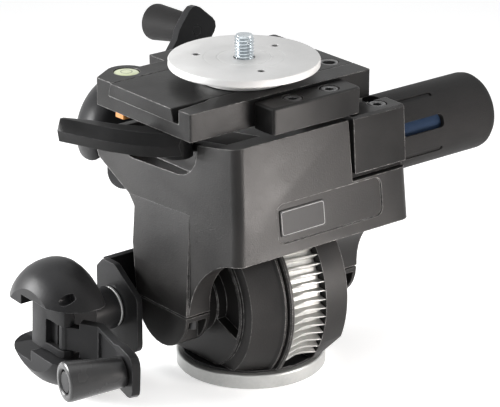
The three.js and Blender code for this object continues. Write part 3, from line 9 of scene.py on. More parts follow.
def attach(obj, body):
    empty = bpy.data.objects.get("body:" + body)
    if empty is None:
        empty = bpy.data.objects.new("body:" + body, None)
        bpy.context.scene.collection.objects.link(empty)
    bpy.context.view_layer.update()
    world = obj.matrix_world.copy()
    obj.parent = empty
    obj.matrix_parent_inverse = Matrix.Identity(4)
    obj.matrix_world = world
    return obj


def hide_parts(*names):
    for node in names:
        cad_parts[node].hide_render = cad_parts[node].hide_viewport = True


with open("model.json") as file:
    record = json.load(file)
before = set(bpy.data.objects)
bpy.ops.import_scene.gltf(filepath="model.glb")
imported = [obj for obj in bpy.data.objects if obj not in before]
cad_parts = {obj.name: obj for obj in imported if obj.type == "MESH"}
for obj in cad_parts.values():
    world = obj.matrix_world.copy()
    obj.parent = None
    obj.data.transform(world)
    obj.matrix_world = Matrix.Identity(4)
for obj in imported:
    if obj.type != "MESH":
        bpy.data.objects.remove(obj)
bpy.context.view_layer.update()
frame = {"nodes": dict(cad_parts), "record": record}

MM = 0.001
scene = bpy.context.scene
nodes = frame["nodes"]


# ---- sizes repeated from the CAD model, in mm ----
CRANKS = {
    "pan": {
        "origin": (-60.3, 31.5, 33.5), "out": (-1, 0, 0), "lean": 13,
        "along": (0, -math.cos(math.radians(3)), -math.sin(math.radians(3))),
        "bodies": ("pan_crank", "pan_crank_arm", "pan_crank_grip"), "roller": "roller",
    },
    "tilt": {
        "origin": (0.5, 65, 93.5), "out": (0, 1, 0), "lean": 6,
        "along": (math.sin(math.radians(41)), 0, math.cos(math.radians(41))),
        "bodies": ("tilt_crank", "tilt_crank_arm", "tilt_crank_grip"), "roller": "matt_black",
    },
}
WINGS = [(0, 0.75), (0.03, 0.85), (0.07, 0.91), (0.13, 0.96), (0.2, 0.985), (0.28, 1), (0.4, 1),
         (0.5, 0.988), (0.6, 0.965), (0.7, 0.925), (0.8, 0.87), (0.88, 0.8), (0.95, 0.72), (1, 0.65)]
DRUM_Y, DRUM_Z = 5, 39.5          # axis of the drum
DISC_Y = 5                        # axis of the camera disc and stud
PAN_WORM_Y, PAN_WORM_Z = 31.5, 33.5
GRIP_Y, GRIP_Z = -18, 107         # axis of the lateral grip
VIAL_X, VIAL_Y = -38.3, 46.6
GRUB_CIRCLE, GRUB_ANGLES = 23, (11.4, 131.4, 251.4)
HINGE_ALONG, HINGE_OUT = 14, 37   # crank hinge, from the foot of the knob
ARM_LENGTH = 57.7                 # from the knob's axis to the roller's, along the arm
KNOB_START, KNOB_WINGS, KNOB_REACH = 19, 28, 31.2  # start, length and half breadth of the wings
NARROW_SLOT, WIDE_SLOT = 1.3, 3.3  # half widths of the slots in the grip
SLOTS = ((-24, NARROW_SLOT), (20, WIDE_SLOT), (64, NARROW_SLOT))  # upwards from straight forward
SLOT_END, SLOT_BEND = 91, 2.2     # their closed end along x, and its largest corner radius

TOOTH_ANGLE, CURVE_ANGLE = 12, 28  # edges that bend less are smoothed, in degrees
AROUND = 160                       # points round a large turned piece


# ---- materials ----
def new_material(name):
    m = bpy.data.materials.new(name)
    m.use_nodes = True
    t = m.node_tree
    t.nodes.clear()
    out = t.nodes.new("ShaderNodeOutputMaterial")
    bsdf = t.nodes.new("ShaderNodeBsdfPrincipled")
    t.links.new(bsdf.outputs[0], out.inputs[0])
    return m, t, bsdf


def noise(t, coords, scale, detail=3, rough=0.55):
    n = t.nodes.new("ShaderNodeTexNoise")
    n.inputs["Scale"].default_value = scale
    n.inputs["Detail"].default_value = detail
    n.inputs["Roughness"].default_value = rough
    t.links.new(coords, n.inputs["Vector"])
    return n.outputs[0]


def remap(t, value, a, b, c, d):
    n = t.nodes.new("ShaderNodeMapRange")
    n.inputs[1].default_value = a
    n.inputs[2].default_value = b
    n.inputs[3].default_value = c
    n.inputs[4].default_value = d
    t.links.new(value, n.inputs[0])
    return n.outputs[0]


def mix(t, factor, a, b):
    n = t.nodes.new("ShaderNodeMix")
    n.data_type = "RGBA"
    if hasattr(factor, "is_linked"):
        t.links.new(factor, n.inputs[0])
    else:
        n.inputs[0].default_value = factor
    for socket, value in ((n.inputs[6], a), (n.inputs[7], b)):
        if hasattr(value, "is_linked"):
            t.links.new(value, socket)
        else:
            socket.default_value = (*value, 1)
    return n.outputs[2]


def calculate(t, operation, a, b):
    n = t.nodes.new("ShaderNodeMath")
    n.operation = operation
    for socket, value in zip(n.inputs, (a, b)):
        if hasattr(value, "is_linked"):
            t.links.new(value, socket)
        else:
            socket.default_value = value
    return n.outputs[0]


def multiply(t, a, b):
    return calculate(t, "MULTIPLY", a, b)


def seen_directly(t):
    """1 for a ray from the camera, a shiny face or through glass, and 0 for other rays."""
    path = t.nodes.new("ShaderNodeLightPath")
    seen = calculate(t, "MAXIMUM", path.outputs["Is Camera Ray"], path.outputs["Is Glossy Ray"])
    return calculate(t, "MAXIMUM", seen, path.outputs["Is Transmission Ray"])


def surface(name, dark, light, worn_highlit_edge, rough, metal=0.0, grain=1400, bump=0.00004, wear_and_highlight=0.7,
            edge_width=0.0005, coarse=60, specular=0.5, rings=None, coat=0.0):
    """A finish with patchy colour, fine grain, uneven gloss, and lighter edges that are partly wear and
    partly painted highlight.
    """
    m, t, bsdf = new_material(name)
    coords = t.nodes.new("ShaderNodeTexCoord").outputs["Object"]
    patches = noise(t, coords, coarse, 4)
    fine = noise(t, coords, grain, 2)
    colour = mix(t, remap(t, patches, 0.35, 0.65, 0, 1), dark, light)
    colour = mix(t, remap(t, fine, 0.3, 0.7, 0, 0.35), colour, light)

    # lighter edges: the bevel mask mixes in the edge colour, partly as wear and partly as a painted
    # highlight where light catches the rounded edges
    round_edge = t.nodes.new("ShaderNodeBevel")
    round_edge.samples = 6
    round_edge.inputs["Radius"].default_value = edge_width
    face = t.nodes.new("ShaderNodeNewGeometry")
    dot = t.nodes.new("ShaderNodeVectorMath")
    dot.operation = "DOT_PRODUCT"
    t.links.new(round_edge.outputs[0], dot.inputs[0])
    t.links.new(face.outputs["Normal"], dot.inputs[1])
    edge_wear_and_highlight = remap(t, dot.outputs["Value"], 0.985, 0.86, 0, 1)
    scuffs = remap(t, noise(t, coords, 260, 4, 0.7), 0.38, 0.62, 0.15, 1)
    edge_wear_and_highlight = multiply(t, multiply(t, edge_wear_and_highlight, scuffs), wear_and_highlight)
    colour = mix(t, edge_wear_and_highlight, colour, worn_highlit_edge)
    t.links.new(colour, bsdf.inputs["Base Color"])

    spread = remap(t, patches, 0.3, 0.7, rough - 0.05, rough + 0.06)
    t.links.new(spread, bsdf.inputs["Roughness"])
    bsdf.inputs["Metallic"].default_value = metal
    bsdf.inputs["Specular IOR Level"].default_value = specular
    bsdf.inputs["Coat Weight"].default_value = coat
    bsdf.inputs["Coat Roughness"].default_value = 0.3

    height = fine
    if rings:
        centre, axis, pitch, depth = rings
        place = t.nodes.new("ShaderNodeVectorMath")
        place.operation = "SUBTRACT"
        place.inputs[1].default_value = tuple(c * MM for c in centre)
        t.links.new(coords, place.inputs[0])
        flat = t.nodes.new("ShaderNodeVectorMath")
        flat.operation = "MULTIPLY"
        flat.inputs[1].default_value = tuple(1 - abs(a) for a in axis)
        t.links.new(place.outputs[0], flat.inputs[0])
        length = t.nodes.new("ShaderNodeVectorMath")
        length.operation = "LENGTH"
        t.links.new(flat.outputs[0], length.inputs[0])
        wave = t.nodes.new("ShaderNodeMath")
        wave.operation = "SINE"
        turns = multiply(t, length.outputs["Value"], 2 * math.pi / (pitch * MM))
        t.links.new(turns, wave.inputs[0])
        height = calculate(t, "ADD", multiply(t, wave.outputs[0], depth), multiply(t, fine, 0.5))
    relief = t.nodes.new("ShaderNodeBump")
    relief.inputs["Strength"].default_value = 1.0
    relief.inputs["Distance"].default_value = bump
    t.links.new(height, relief.inputs["Height"])
    t.links.new(round_edge.outputs[0], relief.inputs["Normal"])
    t.links.new(relief.outputs[0], bsdf.inputs["Normal"])
    return m


M = {
    # the light edge colour at full strength is mostly a painted highlight along the edges, with some wear
    "black_paint": surface("black_paint", (0.012, 0.0115, 0.0115), (0.020, 0.019, 0.0185),
                           (0.42, 0.41, 0.40),
                           0.38, grain=1300, bump=0.00007, wear_and_highlight=1.0, edge_width=0.0007,
                           coarse=45, specular=0.23),
    "satin_black": surface("satin_black", (0.015, 0.015, 0.0155), (0.024, 0.024, 0.025), (0.20, 0.20, 0.205),
                           0.36, grain=900, bump=0.00003, wear_and_highlight=0.7, coarse=35, specular=0.11),
    "matt_black": surface("matt_black", (0.010, 0.0098, 0.0098), (0.019, 0.0185, 0.0185), (0.08, 0.08, 0.08),
                          0.60, grain=1500, bump=0.00018, wear_and_highlight=0.35, coarse=30, specular=0.12),
    "roller": surface("roller", (0.018, 0.018, 0.0185), (0.028, 0.028, 0.0285), (0.14, 0.14, 0.145),
                      0.27, grain=1200, bump=0.00003, wear_and_highlight=0.1, coarse=40, specular=0.42),
    "silver": surface("silver", (0.56, 0.565, 0.56), (0.66, 0.665, 0.66), (0.82, 0.82, 0.82),
                      0.34, metal=0.85, grain=900, bump=0.00001, wear_and_highlight=0.6, coarse=50),
    "disc": surface("disc", (0.62, 0.617, 0.61), (0.72, 0.717, 0.71), (0.87, 0.87, 0.86),
                    0.50, metal=0.3, grain=1500, bump=0.000012, wear_and_highlight=0.6, coarse=30,
                    specular=0.25, rings=((0, DISC_Y, 0), (0, 0, 1), 0.9, 0.5)),
    "ring": surface("ring", (0.42, 0.425, 0.415), (0.55, 0.555, 0.545), (0.80, 0.80, 0.80),
                    0.34, metal=0.7, grain=700, bump=0.00002, wear_and_highlight=0.6, coarse=40),
    "zinc": surface("zinc", (0.34, 0.34, 0.328), (0.47, 0.47, 0.455), (0.78, 0.78, 0.76),
                    0.36, metal=0.6, grain=900, bump=0.00002, wear_and_highlight=0.5, coarse=150, edge_width=0.0003),
    "stud": surface("stud", (0.38, 0.42, 0.45), (0.54, 0.58, 0.60), (0.90, 0.92, 0.93),
                    0.22, metal=0.85, grain=900, bump=0.00001, wear_and_highlight=0.5, coarse=120, edge_width=0.0002),
    "black_steel": surface("black_steel", (0.025, 0.025, 0.026), (0.045, 0.045, 0.046), (0.26, 0.26, 0.26),
                           0.30, metal=0.5, grain=1500, bump=0.00002, wear_and_highlight=0.8, coarse=80,
                           edge_width=0.0003),
    # the bright edge colour at full strength paints a highlight ring on the screw heads
    "screw_steel": surface("screw_steel", (0.05, 0.05, 0.051), (0.09, 0.09, 0.091), (0.50, 0.50, 0.50),
                           0.30, metal=0.6, grain=1500, bump=0.00002, wear_and_highlight=1.0, coarse=80,
                           edge_width=0.0004),
    "dull_steel": surface("dull_steel", (0.10, 0.10, 0.10), (0.16, 0.16, 0.16), (0.40, 0.40, 0.40),
                          0.35, metal=0.7, grain=900, bump=0.00001, wear_and_highlight=0.6, coarse=50, edge_width=0.0003),
    # the light edge colour at full strength is mostly a painted highlight along the edges, with some wear
    "dark_paint": surface("dark_paint", (0.009, 0.0088, 0.0088), (0.015, 0.0146, 0.0144),
                          (0.42, 0.41, 0.40),
                          0.36, grain=1300, bump=0.00006, wear_and_highlight=1.0, edge_width=0.0007,
                          coarse=45, specular=0.13),
    "lever_black": surface("lever_black", (0.007, 0.007, 0.0072), (0.012, 0.012, 0.0123), (0.16, 0.16, 0.16),
                           0.34, grain=900, bump=0.00003, wear_and_highlight=0.6, coarse=35, specular=0.10),
    "navy": surface("navy", (0.008, 0.019, 0.044), (0.015, 0.030, 0.062), (0.05, 0.08, 0.14),
                    0.55, grain=900, bump=0.00008, wear_and_highlight=0.3, coarse=60, specular=0.15),
    "orange": surface("orange", (0.42, 0.15, 0.015), (0.54, 0.21, 0.025), (0.85, 0.45, 0.15),
                      0.4, grain=900, bump=0.00001, wear_and_highlight=0.3, coarse=90),
    "green_glass": surface("green_glass", (0.60, 0.68, 0.34), (0.70, 0.76, 0.46), (0.84, 0.88, 0.68),
                           0.08, grain=500, bump=0.000002, wear_and_highlight=0.3, coarse=90, coat=1.0),
    "label_grey": surface("label_grey", (0.028, 0.028, 0.029), (0.038, 0.038, 0.039), (0.2, 0.2, 0.2),
                          0.42, grain=1500, bump=0.00001, wear_and_highlight=0.3, coarse=60, specular=0.2),
    "print": surface("print", (0.40, 0.40, 0.40), (0.50, 0.50, 0.50), (0.55, 0.55, 0.55),
                     0.5, grain=1500, bump=0.00001, wear_and_highlight=0.1, coarse=60),
}


# ---- CAD pieces: finish, smooth curved faces, small rounds on the edges ----
def smoothing_group(degrees):
    g = bpy.data.node_groups.new(f"soften_{degrees}", "GeometryNodeTree")
    g.interface.new_socket("Geometry", in_out="INPUT", socket_type="NodeSocketGeometry")
    g.interface.new_socket("Geometry", in_out="OUTPUT", socket_type="NodeSocketGeometry")
    start = g.nodes.new("NodeGroupInput")
    end = g.nodes.new("NodeGroupOutput")
    bare = g.nodes.new("GeometryNodeRemoveAttribute")
    bare.inputs["Name"].default_value = "custom_normal"
    weld = g.nodes.new("GeometryNodeMergeByDistance")
    weld.inputs["Distance"].default_value = 2e-6
    faces = g.nodes.new("GeometryNodeSetShadeSmooth")
    edges = g.nodes.new("GeometryNodeSetShadeSmooth")
    edges.domain = "EDGE"
    angle = g.nodes.new("GeometryNodeInputMeshEdgeAngle")
    small = g.nodes.new("FunctionNodeCompare")
    small.data_type = "FLOAT"
    small.operation = "LESS_THAN"
    small.inputs[1].default_value = math.radians(degrees)
    g.links.new(angle.outputs[0], small.inputs[0])
    g.links.new(start.outputs[0], bare.inputs[0])
    g.links.new(bare.outputs[0], weld.inputs[0])
    g.links.new(weld.outputs[0], faces.inputs["Geometry"])
    g.links.new(faces.outputs[0], edges.inputs["Geometry"])
    g.links.new(small.outputs[0], edges.inputs["Shade Smooth"])
    g.links.new(edges.outputs[0], end.inputs[0])
    return g


SOFTEN = {degrees: smoothing_group(degrees) for degrees in (TOOTH_ANGLE, CURVE_ANGLE)}


def soften(obj, degrees):
    mod = obj.modifiers.new("soften", "NODES")
    mod.node_group = SOFTEN[degrees]


def round_edges(obj, width, segments=2, degrees=30):
    mod = obj.modifiers.new("round", "BEVEL")
    mod.width = width * MM
    mod.segments = segments
    mod.limit_method = "ANGLE"
    mod.angle_limit = math.radians(degrees)
    mod.harden_normals = True
    mod.use_clamp_overlap = True


slots = {p["node"]: p["material_slot"] for p in frame["record"]["subparts"]}
SHADES = {  # pieces that the photo shows darker than others of their slot
    "tray": "dark_paint", "camera_plate": "dark_paint", "clamp_bar": "dark_paint",
    "end_block": "dark_paint", "release_lever": "lever_black",
}
ROUNDS = {
    "body_casting": 0.35, "end_block": 0.35, "clamp_bar": 0.45, "tray": 0.35, "camera_plate": 0.3,
    "left_cap": 0.3, "right_cap": 0.3, "release_lever": 0.5, "pan_worm_housing": 0.4,
    "pan_arm": 0.35, "tilt_arm": 0.35, "pan_hinge_block": 0.35, "tilt_hinge_block": 0.35,
    "safety_catch": 0.3,
}
for name, obj in nodes.items():
    obj.data.materials.clear()
    obj.data.materials.append(M[SHADES.get(name, slots[name])])
    soften(obj, TOOTH_ANGLE if name == "front_tilt_wheel" else CURVE_ANGLE)
for name, width in ROUNDS.items():
    round_edges(nodes[name], width)


# ---- mesh helpers ----
def basis(axis):
    return {
        "x": Matrix(((0, 0, 1), (1, 0, 0), (0, 1, 0))).to_4x4(),
        "y": Matrix(((1, 0, 0), (0, 0, 1), (0, 1, 0))).to_4x4(),
        "z": Matrix.Identity(4),
    }[axis]


def add_piece(name, bm, material, body, replaced=(), smooth=True, degrees=32):
    bmesh.ops.recalc_face_normals(bm, faces=bm.faces)
    mesh = bpy.data.meshes.new(name)
    bm.to_mesh(mesh)
    bm.free()
    obj = bpy.data.objects.new(name, mesh)
    scene.collection.objects.link(obj)
    mesh.materials.append(M[material])
    if smooth:
        for p in mesh.polygons:
            p.use_smooth = True
        mesh.set_sharp_from_angle(angle=math.radians(degrees))
    if body:
        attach(obj, body)
    if replaced:
        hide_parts(*replaced)
    return obj


def lathe(profile, matrix, segments=96):
    """A closed body turned about the z axis of a matrix, from [along, radius] in mm."""
    bm = bmesh.new()
    rows = []
    for along, radius in profile:
        if radius == 0:
            rows.append([bm.verts.new(matrix @ Vector((0, 0, along)))])
            continue
        ring = []
        for k in range(segments):
            angle = 2 * math.pi * k / segments
            x, y = radius * math.cos(angle), radius * math.sin(angle)
            ring.append(bm.verts.new(matrix @ Vector((x, y, along))))
        rows.append(ring)
    if profile[0] == profile[-1]:
        for v in rows[-1]:
            bm.verts.remove(v)
        rows[-1] = rows[0]
    for low, high in zip(rows, rows[1:]):
        for k in range(segments):
            n = (k + 1) % segments
            if len(low) == 1 and len(high) == 1:
                continue
            if len(low) == 1:
                bm.faces.new((low[0], high[k], high[n]))
            elif len(high) == 1:
                bm.faces.new((low[k], low[n], high[0]))
            else:
                bm.faces.new((low[k], low[n], high[n], high[k]))
    bmesh.ops.recalc_face_normals(bm, faces=bm.faces)
    return bm


def block(x0, x1, y0, y1, z0, z1, matrix):
    bm = bmesh.new()
    corners = [bm.verts.new(matrix @ Vector((x, y, z)))
               for x in (x0, x1) for y in (y0, y1) for z in (z0, z1)]
    for quad in ((0, 1, 3, 2), (4, 6, 7, 5), (0, 4, 5, 1), (2, 3, 7, 6), (0, 2, 6, 4), (1, 5, 7, 3)):
        bm.faces.new([corners[k] for k in quad])
    bmesh.ops.recalc_face_normals(bm, faces=bm.faces)
    return bm


def slab(outline, low, high, matrix):
    """An outline pulled out along the z axis of a matrix."""
    bm = bmesh.new()
    bottom = [bm.verts.new(matrix @ Vector((a, b, low))) for a, b in outline]
    top = [bm.verts.new(matrix @ Vector((a, b, high))) for a, b in outline]
    count = len(outline)
    bm.faces.new(bottom[::-1])
    bm.faces.new(top)
    for k in range(count):
        n = (k + 1) % count
        bm.faces.new((bottom[k], bottom[n], top[n], top[k]))
    bmesh.ops.recalc_face_normals(bm, faces=bm.faces)
    return bm


def temp(bm):
    mesh = bpy.data.meshes.new("cutter")
    bm.to_mesh(mesh)
    bm.free()
    obj = bpy.data.objects.new("cutter", mesh)
    scene.collection.objects.link(obj)
    return obj


def carve(bm, cutters=(), keep=()):
    """Cuts bodies out of one, or keeps only what lies in others."""
    base = temp(bm)
    tools = []
    for kind, bodies in (("DIFFERENCE", cutters), ("INTERSECT", keep)):
        for other in bodies:
            tool = temp(other)
            tools.append(tool)
            mod = base.modifiers.new("cut", "BOOLEAN")
            mod.operation = kind
            mod.object = tool
            mod.solver = "EXACT"
    bpy.context.view_layer.update()
    done = base.evaluated_get(bpy.context.evaluated_depsgraph_get())
    result = bmesh.new()
    result.from_mesh(done.to_mesh())
    for o in [base, *tools]:
        bpy.data.objects.remove(o)
    bmesh.ops.remove_doubles(result, verts=result.verts, dist=1e-6)
    bmesh.ops.dissolve_limit(result, angle_limit=math.radians(0.5), verts=result.verts,
                             edges=result.edges)
    return result


def at(x, y, z, axis="z"):
    return Matrix.Scale(MM, 4) @ Matrix.Translation((x, y, z)) @ basis(axis)


def arc(a, b, radius, start, end, steps):
    """Points round (a, b) from one angle to another, in degrees."""
    angles = [math.radians(start + (end - start) * k / steps) for k in range(steps + 1)]
    return [(a + radius * math.cos(angle), b + radius * math.sin(angle)) for angle in angles]


# ---- base ring, camera disc, ferrule, stud ----
base = lathe([(0, 10.3), (0, 35.6), (0.2, 36.1), (0.7, 36.5), (6.6, 36.5), (7.1, 36.1), (7.3, 35.6),
              (7.3, 10.3), (0, 10.3)], at(0, 0, 0), AROUND)
add_piece("base_ring", base, "ring", "base", ["base_disc"])

disc = lathe([(143.8, 5.1), (143.8, 22), (149.5, 22), (149.5, 35.2), (149.7, 35.7), (150.1, 36), (152.9, 36),
              (153.3, 35.8), (153.5, 35.4), (153.5, 19.5), (153.4, 19.35), (153.4, 19.05), (153.5, 18.9),
              (153.5, 13.3), (153.3, 13.05), (153.3, 12.65), (153.5, 12.4), (153.5, 5.1), (143.8, 5.1)],
             at(0, DISC_Y, 0), AROUND)
grubs = [(GRUB_CIRCLE * math.cos(math.radians(a)), DISC_Y + GRUB_CIRCLE * math.sin(math.radians(a)))
         for a in GRUB_ANGLES]
disc = carve(disc, [lathe([(149, 0), (149, 1.8), (154, 1.8), (154, 0)], at(x, y, 0), 32)
                    for x, y in grubs])
add_piece("machined_disc", disc, "disc", "slide_plate", ["camera_disc"])
for i, (x, y) in enumerate(grubs):
    screw = carve(lathe([(149.6, 0), (149.6, 1.6), (152.9, 1.6), (153.1, 1.4), (153.1, 0)], at(x, y, 0), 32),
                  [lathe([(152, 0), (152, 0.85), (154, 0.85), (154, 0)], at(x, y, 0), 6)])
    add_piece(f"set_screw_{i + 1}", screw, "black_steel", "slide_plate",
              [f"grub_screw_{i + 1}"])

ferrule = lathe([(137, 3.2), (137, 4.6), (143.2, 4.6), (143.5, 4.4), (143.5, 3.6), (143.2, 3.2), (137, 3.2)],
                at(46.2, -2.4, 0), 64)
add_piece("hole_ferrule", ferrule, "dull_steel", "slide_plate", ["plate_ferrule"])


def threaded(matrix, start, end, radius, pitch, depth):
    """A screw with a real helix along the z axis of a matrix, with a chamfer at its end."""
    bm = bmesh.new()
    around, rows_per_turn = 64, 16
    rows = int((end - start) / pitch * rows_per_turn)
    grid = []
    for row in range(rows + 1):
        along = start + (end - start) * row / rows
        ring = []
        for k in range(around):
            phase = (along / pitch - k / around) % 1
            r = radius - depth * abs(2 * phase - 1)
            r = min(r, radius - depth + (end - along) * 0.8)
            a = 2 * math.pi * k / around
            ring.append(bm.verts.new(matrix @ Vector((r * math.cos(a), r * math.sin(a), along))))
        grid.append(ring)
    for low, high in zip(grid, grid[1:]):
        for k in range(around):
            n = (k + 1) % around
            bm.faces.new((low[k], low[n], high[n], high[k]))
    bm.faces.new(grid[0][::-1])
    bm.faces.new(grid[-1])
    return bm


stud = threaded(at(0, DISC_Y, 0), 140.3, 164.5, radius=4.74, pitch=1.5875, depth=0.85)
add_piece("threaded_stud", stud, "stud", "slide_plate", ["camera_stud"], degrees=40)


# ---- drum ----
profile = [(-36, 0), (-36, 16.4), (-35.4, 17), (-30, 17), (-30, 34.4), (-29.6, 35), (-28.2, 35),
           (-28.2, 40.1), (-27.9, 40.6), (-14.3, 45.8), (-14, 46.1), (-13.4, 47.2), (-13.1, 47.5),
           (-12.1, 47.5), (-11.8, 47.2), (-11.8, 45), (-11.3, 45), (-11.3, 48.9), (-10.6, 49.6),
           (23.3, 49.6), (24, 48.9), (24, 46), (28, 40.8), (28.2, 40.4), (28.2, 35), (29.6, 35),
           (30, 34.4), (30, 17), (36, 17), (36, 0)]
drum = lathe(profile, at(0, DRUM_Y, DRUM_Z, "x"), AROUND)
foot = lathe([(8.9, 0), (8.9, 36.2), (108.1, 135.4), (108.1, 0)], at(0, 0, 0), AROUND)
wheel_slot = arc(DRUM_Y, DRUM_Z, 53, 54, 254, 60) + arc(DRUM_Y, DRUM_Z, 35.7, 254, 54, 60)
window = arc(DRUM_Y, DRUM_Z, 33.6, 112, 201, 30) + arc(DRUM_Y, DRUM_Z, 18, 201, 112, 24)
drum = carve(drum, [
    slab(wheel_slot, -9.3, 10.3, at(0, 0, 0, "x")),
    slab(window, -33, -25, at(0, 0, 0, "x")),
    lathe([(5, 0), (5, 17.3), (38, 17.3), (38, 0)], at(0, 0, 0), 48),
    lathe([(28.4, 0), (28.4, 26.4), (38.6, 26.4), (38.6, 0)], at(0, 0, 0), 64),
    lathe([(-7.1, 0), (-7.1, 9.15), (7.1, 9.15), (7.1, 0)], at(0, PAN_WORM_Y, PAN_WORM_Z, "x"), 48),
    lathe([(-39, 0), (-39, 3.8), (0, 3.8), (0, 0)], at(0, PAN_WORM_Y, PAN_WORM_Z, "x"), 32),
], keep=[foot])
add_piece("drum_casting", drum, "black_paint", "pan_body", ["lower_casting"])


# ---- winged knobs, cranks and rollers ----
def crank_matrix(spec, lean=False):
    """From the foot of a knob, with x along the crank and z out of the head; leaned for the arm."""
    out, along = Vector(spec["out"]), Vector(spec["along"])
    across = out.cross(along)
    m = Matrix.Scale(MM, 4) @ Matrix.Translation(spec["origin"])
    m = m @ Matrix((along, across, out)).transposed().to_4x4()
    if lean:
        hinge = Matrix.Translation((HINGE_ALONG, 0, HINGE_OUT))
        m = m @ hinge @ Matrix.Rotation(-math.radians(spec["lean"]), 4, "Y") @ hinge.inverted()
    return m


for prefix, spec in CRANKS.items():
    m = crank_matrix(spec)
    knob_body, arm_body, grip_body = spec["bodies"]
    shape = [(1.8, 0), (1.8, 9.9), (2.4, 10.5), (KNOB_START, 10.5)]
    shape += [(KNOB_START + KNOB_WINGS * a, KNOB_REACH * b) for a, b in WINGS]
    shape += [(KNOB_START + KNOB_WINGS, 0)]
    knob = carve(lathe(shape, m, 128), [
        block(14, 40, -10.5, 16, 15, 50, m),
        block(-40, -14, -16, 10.5, 15, 50, m),
        block(-0.3, 40, -10.5, 16, 32, 50, m),
        block(-40, 0, -16, 10.5, 32, 50, m),
        block(-8.3, 0, 0, 15.7, 32, 50, m),
        lathe([(36, 0), (36, 2.4), (50, 2.4), (50, 0)], m @ Matrix.Translation((18.5, 21, 0)), 32),
        lathe([(0, 0), (0, 3.8), (16.3, 3.8), (16.3, 0)], m, 32),
    ])
    obj = add_piece(f"{prefix}_winged_knob", knob, "satin_black", knob_body,
                    [f"{prefix}_knob"])
    round_edges(obj, 0.6, 3, 40)
    collar = lathe([(0, 3.8), (0, 9.7), (0.3, 10), (1.2, 10), (1.5, 9.7), (1.5, 3.8), (0, 3.8)], m, 64)
    add_piece(f"{prefix}_bright_collar", collar, "silver", knob_body, [f"{prefix}_collar"])

    end = crank_matrix(spec, lean=True) @ Matrix.Translation((ARM_LENGTH, 0, 0))
    roller = lathe([(26.8, 2.8), (26.8, 6.7), (27.3, 7.2), (28.2, 7.3), (53.6, 9.45), (54.7, 9.3),
                    (55.3, 8.7), (55.5, 7.9), (55.5, 6.6), (55.2, 6.2), (54.6, 5.8), (52.1, 5.8),
                    (52.1, 2.8), (26.8, 2.8)], end, 96)
    add_piece(f"{prefix}_roller", roller, spec["roller"], grip_body, [f"{prefix}_grip"])
    axle = lathe([(22.3, 0), (22.3, 2.5), (52.7, 2.5), (52.7, 5.2), (54.4, 5.2), (54.9, 4.7),
                  (54.9, 0)], end, 64)
    add_piece(f"{prefix}_axle", axle, "satin_black", arm_body,
              [f"{prefix}_grip_axle"])
    filler = block(3.5, 8.7, -6.4, 6.4, 32.3, 37.9, m)
    add_piece(f"{prefix}_hinge_filler", filler, "satin_black", knob_body, smooth=False)


# ---- lateral grip: one tube with three slots, and the sleeve in it ----
def slot_matrix(degrees):
    """x along the grip and z outwards, at an angle upwards from straight forward."""
    turn = Matrix.Translation((0, GRIP_Y, GRIP_Z)) @ Matrix.Rotation(math.radians(-degrees), 4, "X")
    flat = Matrix(((1, 0, 0), (0, 0, -1), (0, 1, 0))).to_4x4()
    return Matrix.Scale(MM, 4) @ turn @ flat


tube_place = at(0, GRIP_Y, GRIP_Z, "x")
tube = lathe([(63.3, 16.7), (63.3, 19.1), (63.5, 19.3), (122, 19.3), (123.9, 18.95), (125.5, 17.8),
              (126.6, 16.2), (127, 14.3), (127, 0), (119, 0), (119, 16.7), (63.3, 16.7)],
             tube_place, AROUND)
cutters = []
for degrees, half in SLOTS:
    bend = min(half, SLOT_BEND)
    outline = [(60, -half)] + arc(SLOT_END - bend, bend - half, bend, -90, 0, 6)
    outline += arc(SLOT_END - bend, half - bend, bend, 0, 90, 6) + [(60, half)]
    cutters.append(slab(outline, 12.5, 23, slot_matrix(degrees)))
tube = carve(tube, cutters)
tube_obj = add_piece("lateral_tube", tube, "matt_black", "lateral_grip",
                     ["grip_tube", "tube_end_cap"])
round_edges(tube_obj, 0.35, 2, 40)
sleeve = lathe([(63.3, 13.4), (63.3, 16.4), (118.7, 16.4), (118.7, 13.4), (63.3, 13.4)], tube_place, 96)
add_piece("navy_sleeve", sleeve, "navy", "lateral_grip", ["blue_sleeve"])
narrow = [degrees for degrees, half in SLOTS if half == NARROW_SLOT]
for index, degrees in enumerate(narrow):
    rib = slab([(64, -1.2), (90.2, -1.2), (90.2, 1.2), (64, 1.2)], 15.5, 18.7, slot_matrix(degrees))
    add_piece(f"slot_liner_{index + 1}", rib, "matt_black", "lateral_grip")


# ---- socket screws ----
def socket_screw(name, x, y, top, bottom, body, replaced):
    shape = [(bottom, 0), (bottom, 2.5), (top - 4, 2.5), (top - 4, 4.3), (top - 0.4, 4.3),
             (top - 0.1, 4.15), (top, 3.9), (top, 3.0), (top - 0.25, 2.75), (top - 0.25, 0)]
    socket = lathe([(top - 2.4, 0), (top - 2.4, 2.35), (top + 1, 2.35), (top + 1, 0)], at(x, y, 0), 6)
    screw = carve(lathe(shape, at(x, y, 0), 64), [socket])
    obj = add_piece(name, screw, "screw_steel", body, [replaced])
    round_edges(obj, 0.12, 2, 40)


socket_screw("bar_bolt_1", 1.2, -29.4, 141.9, 129, "tray_body", "bar_screw_1")
socket_screw("bar_bolt_2", 23.4, -29.4, 141.9, 129, "tray_body", "bar_screw_2")
socket_screw("block_bolt", 53.8, -29.2, 127.9, 101.8, "tilt_body", "block_screw")


# ---- bubble level ----
vial = lathe([(139.3, 0), (139.3, 6.2), (142.6, 6.2), (143.1, 6.0), (143.35, 5.2), (143.45, 3.5),
              (143.5, 0)],
             at(VIAL_X, VIAL_Y, 0), 64)
add_piece("level_vial", vial, "green_glass", "tray_body", ["bubble_vial"])
mark = lathe([(143.2, 2.6), (143.2, 2.85), (143.49, 2.85), (143.49, 2.6), (143.2, 2.6)],
             at(VIAL_X, VIAL_Y, 0), 64)
add_piece("level_mark", mark, "satin_black", "tray_body")


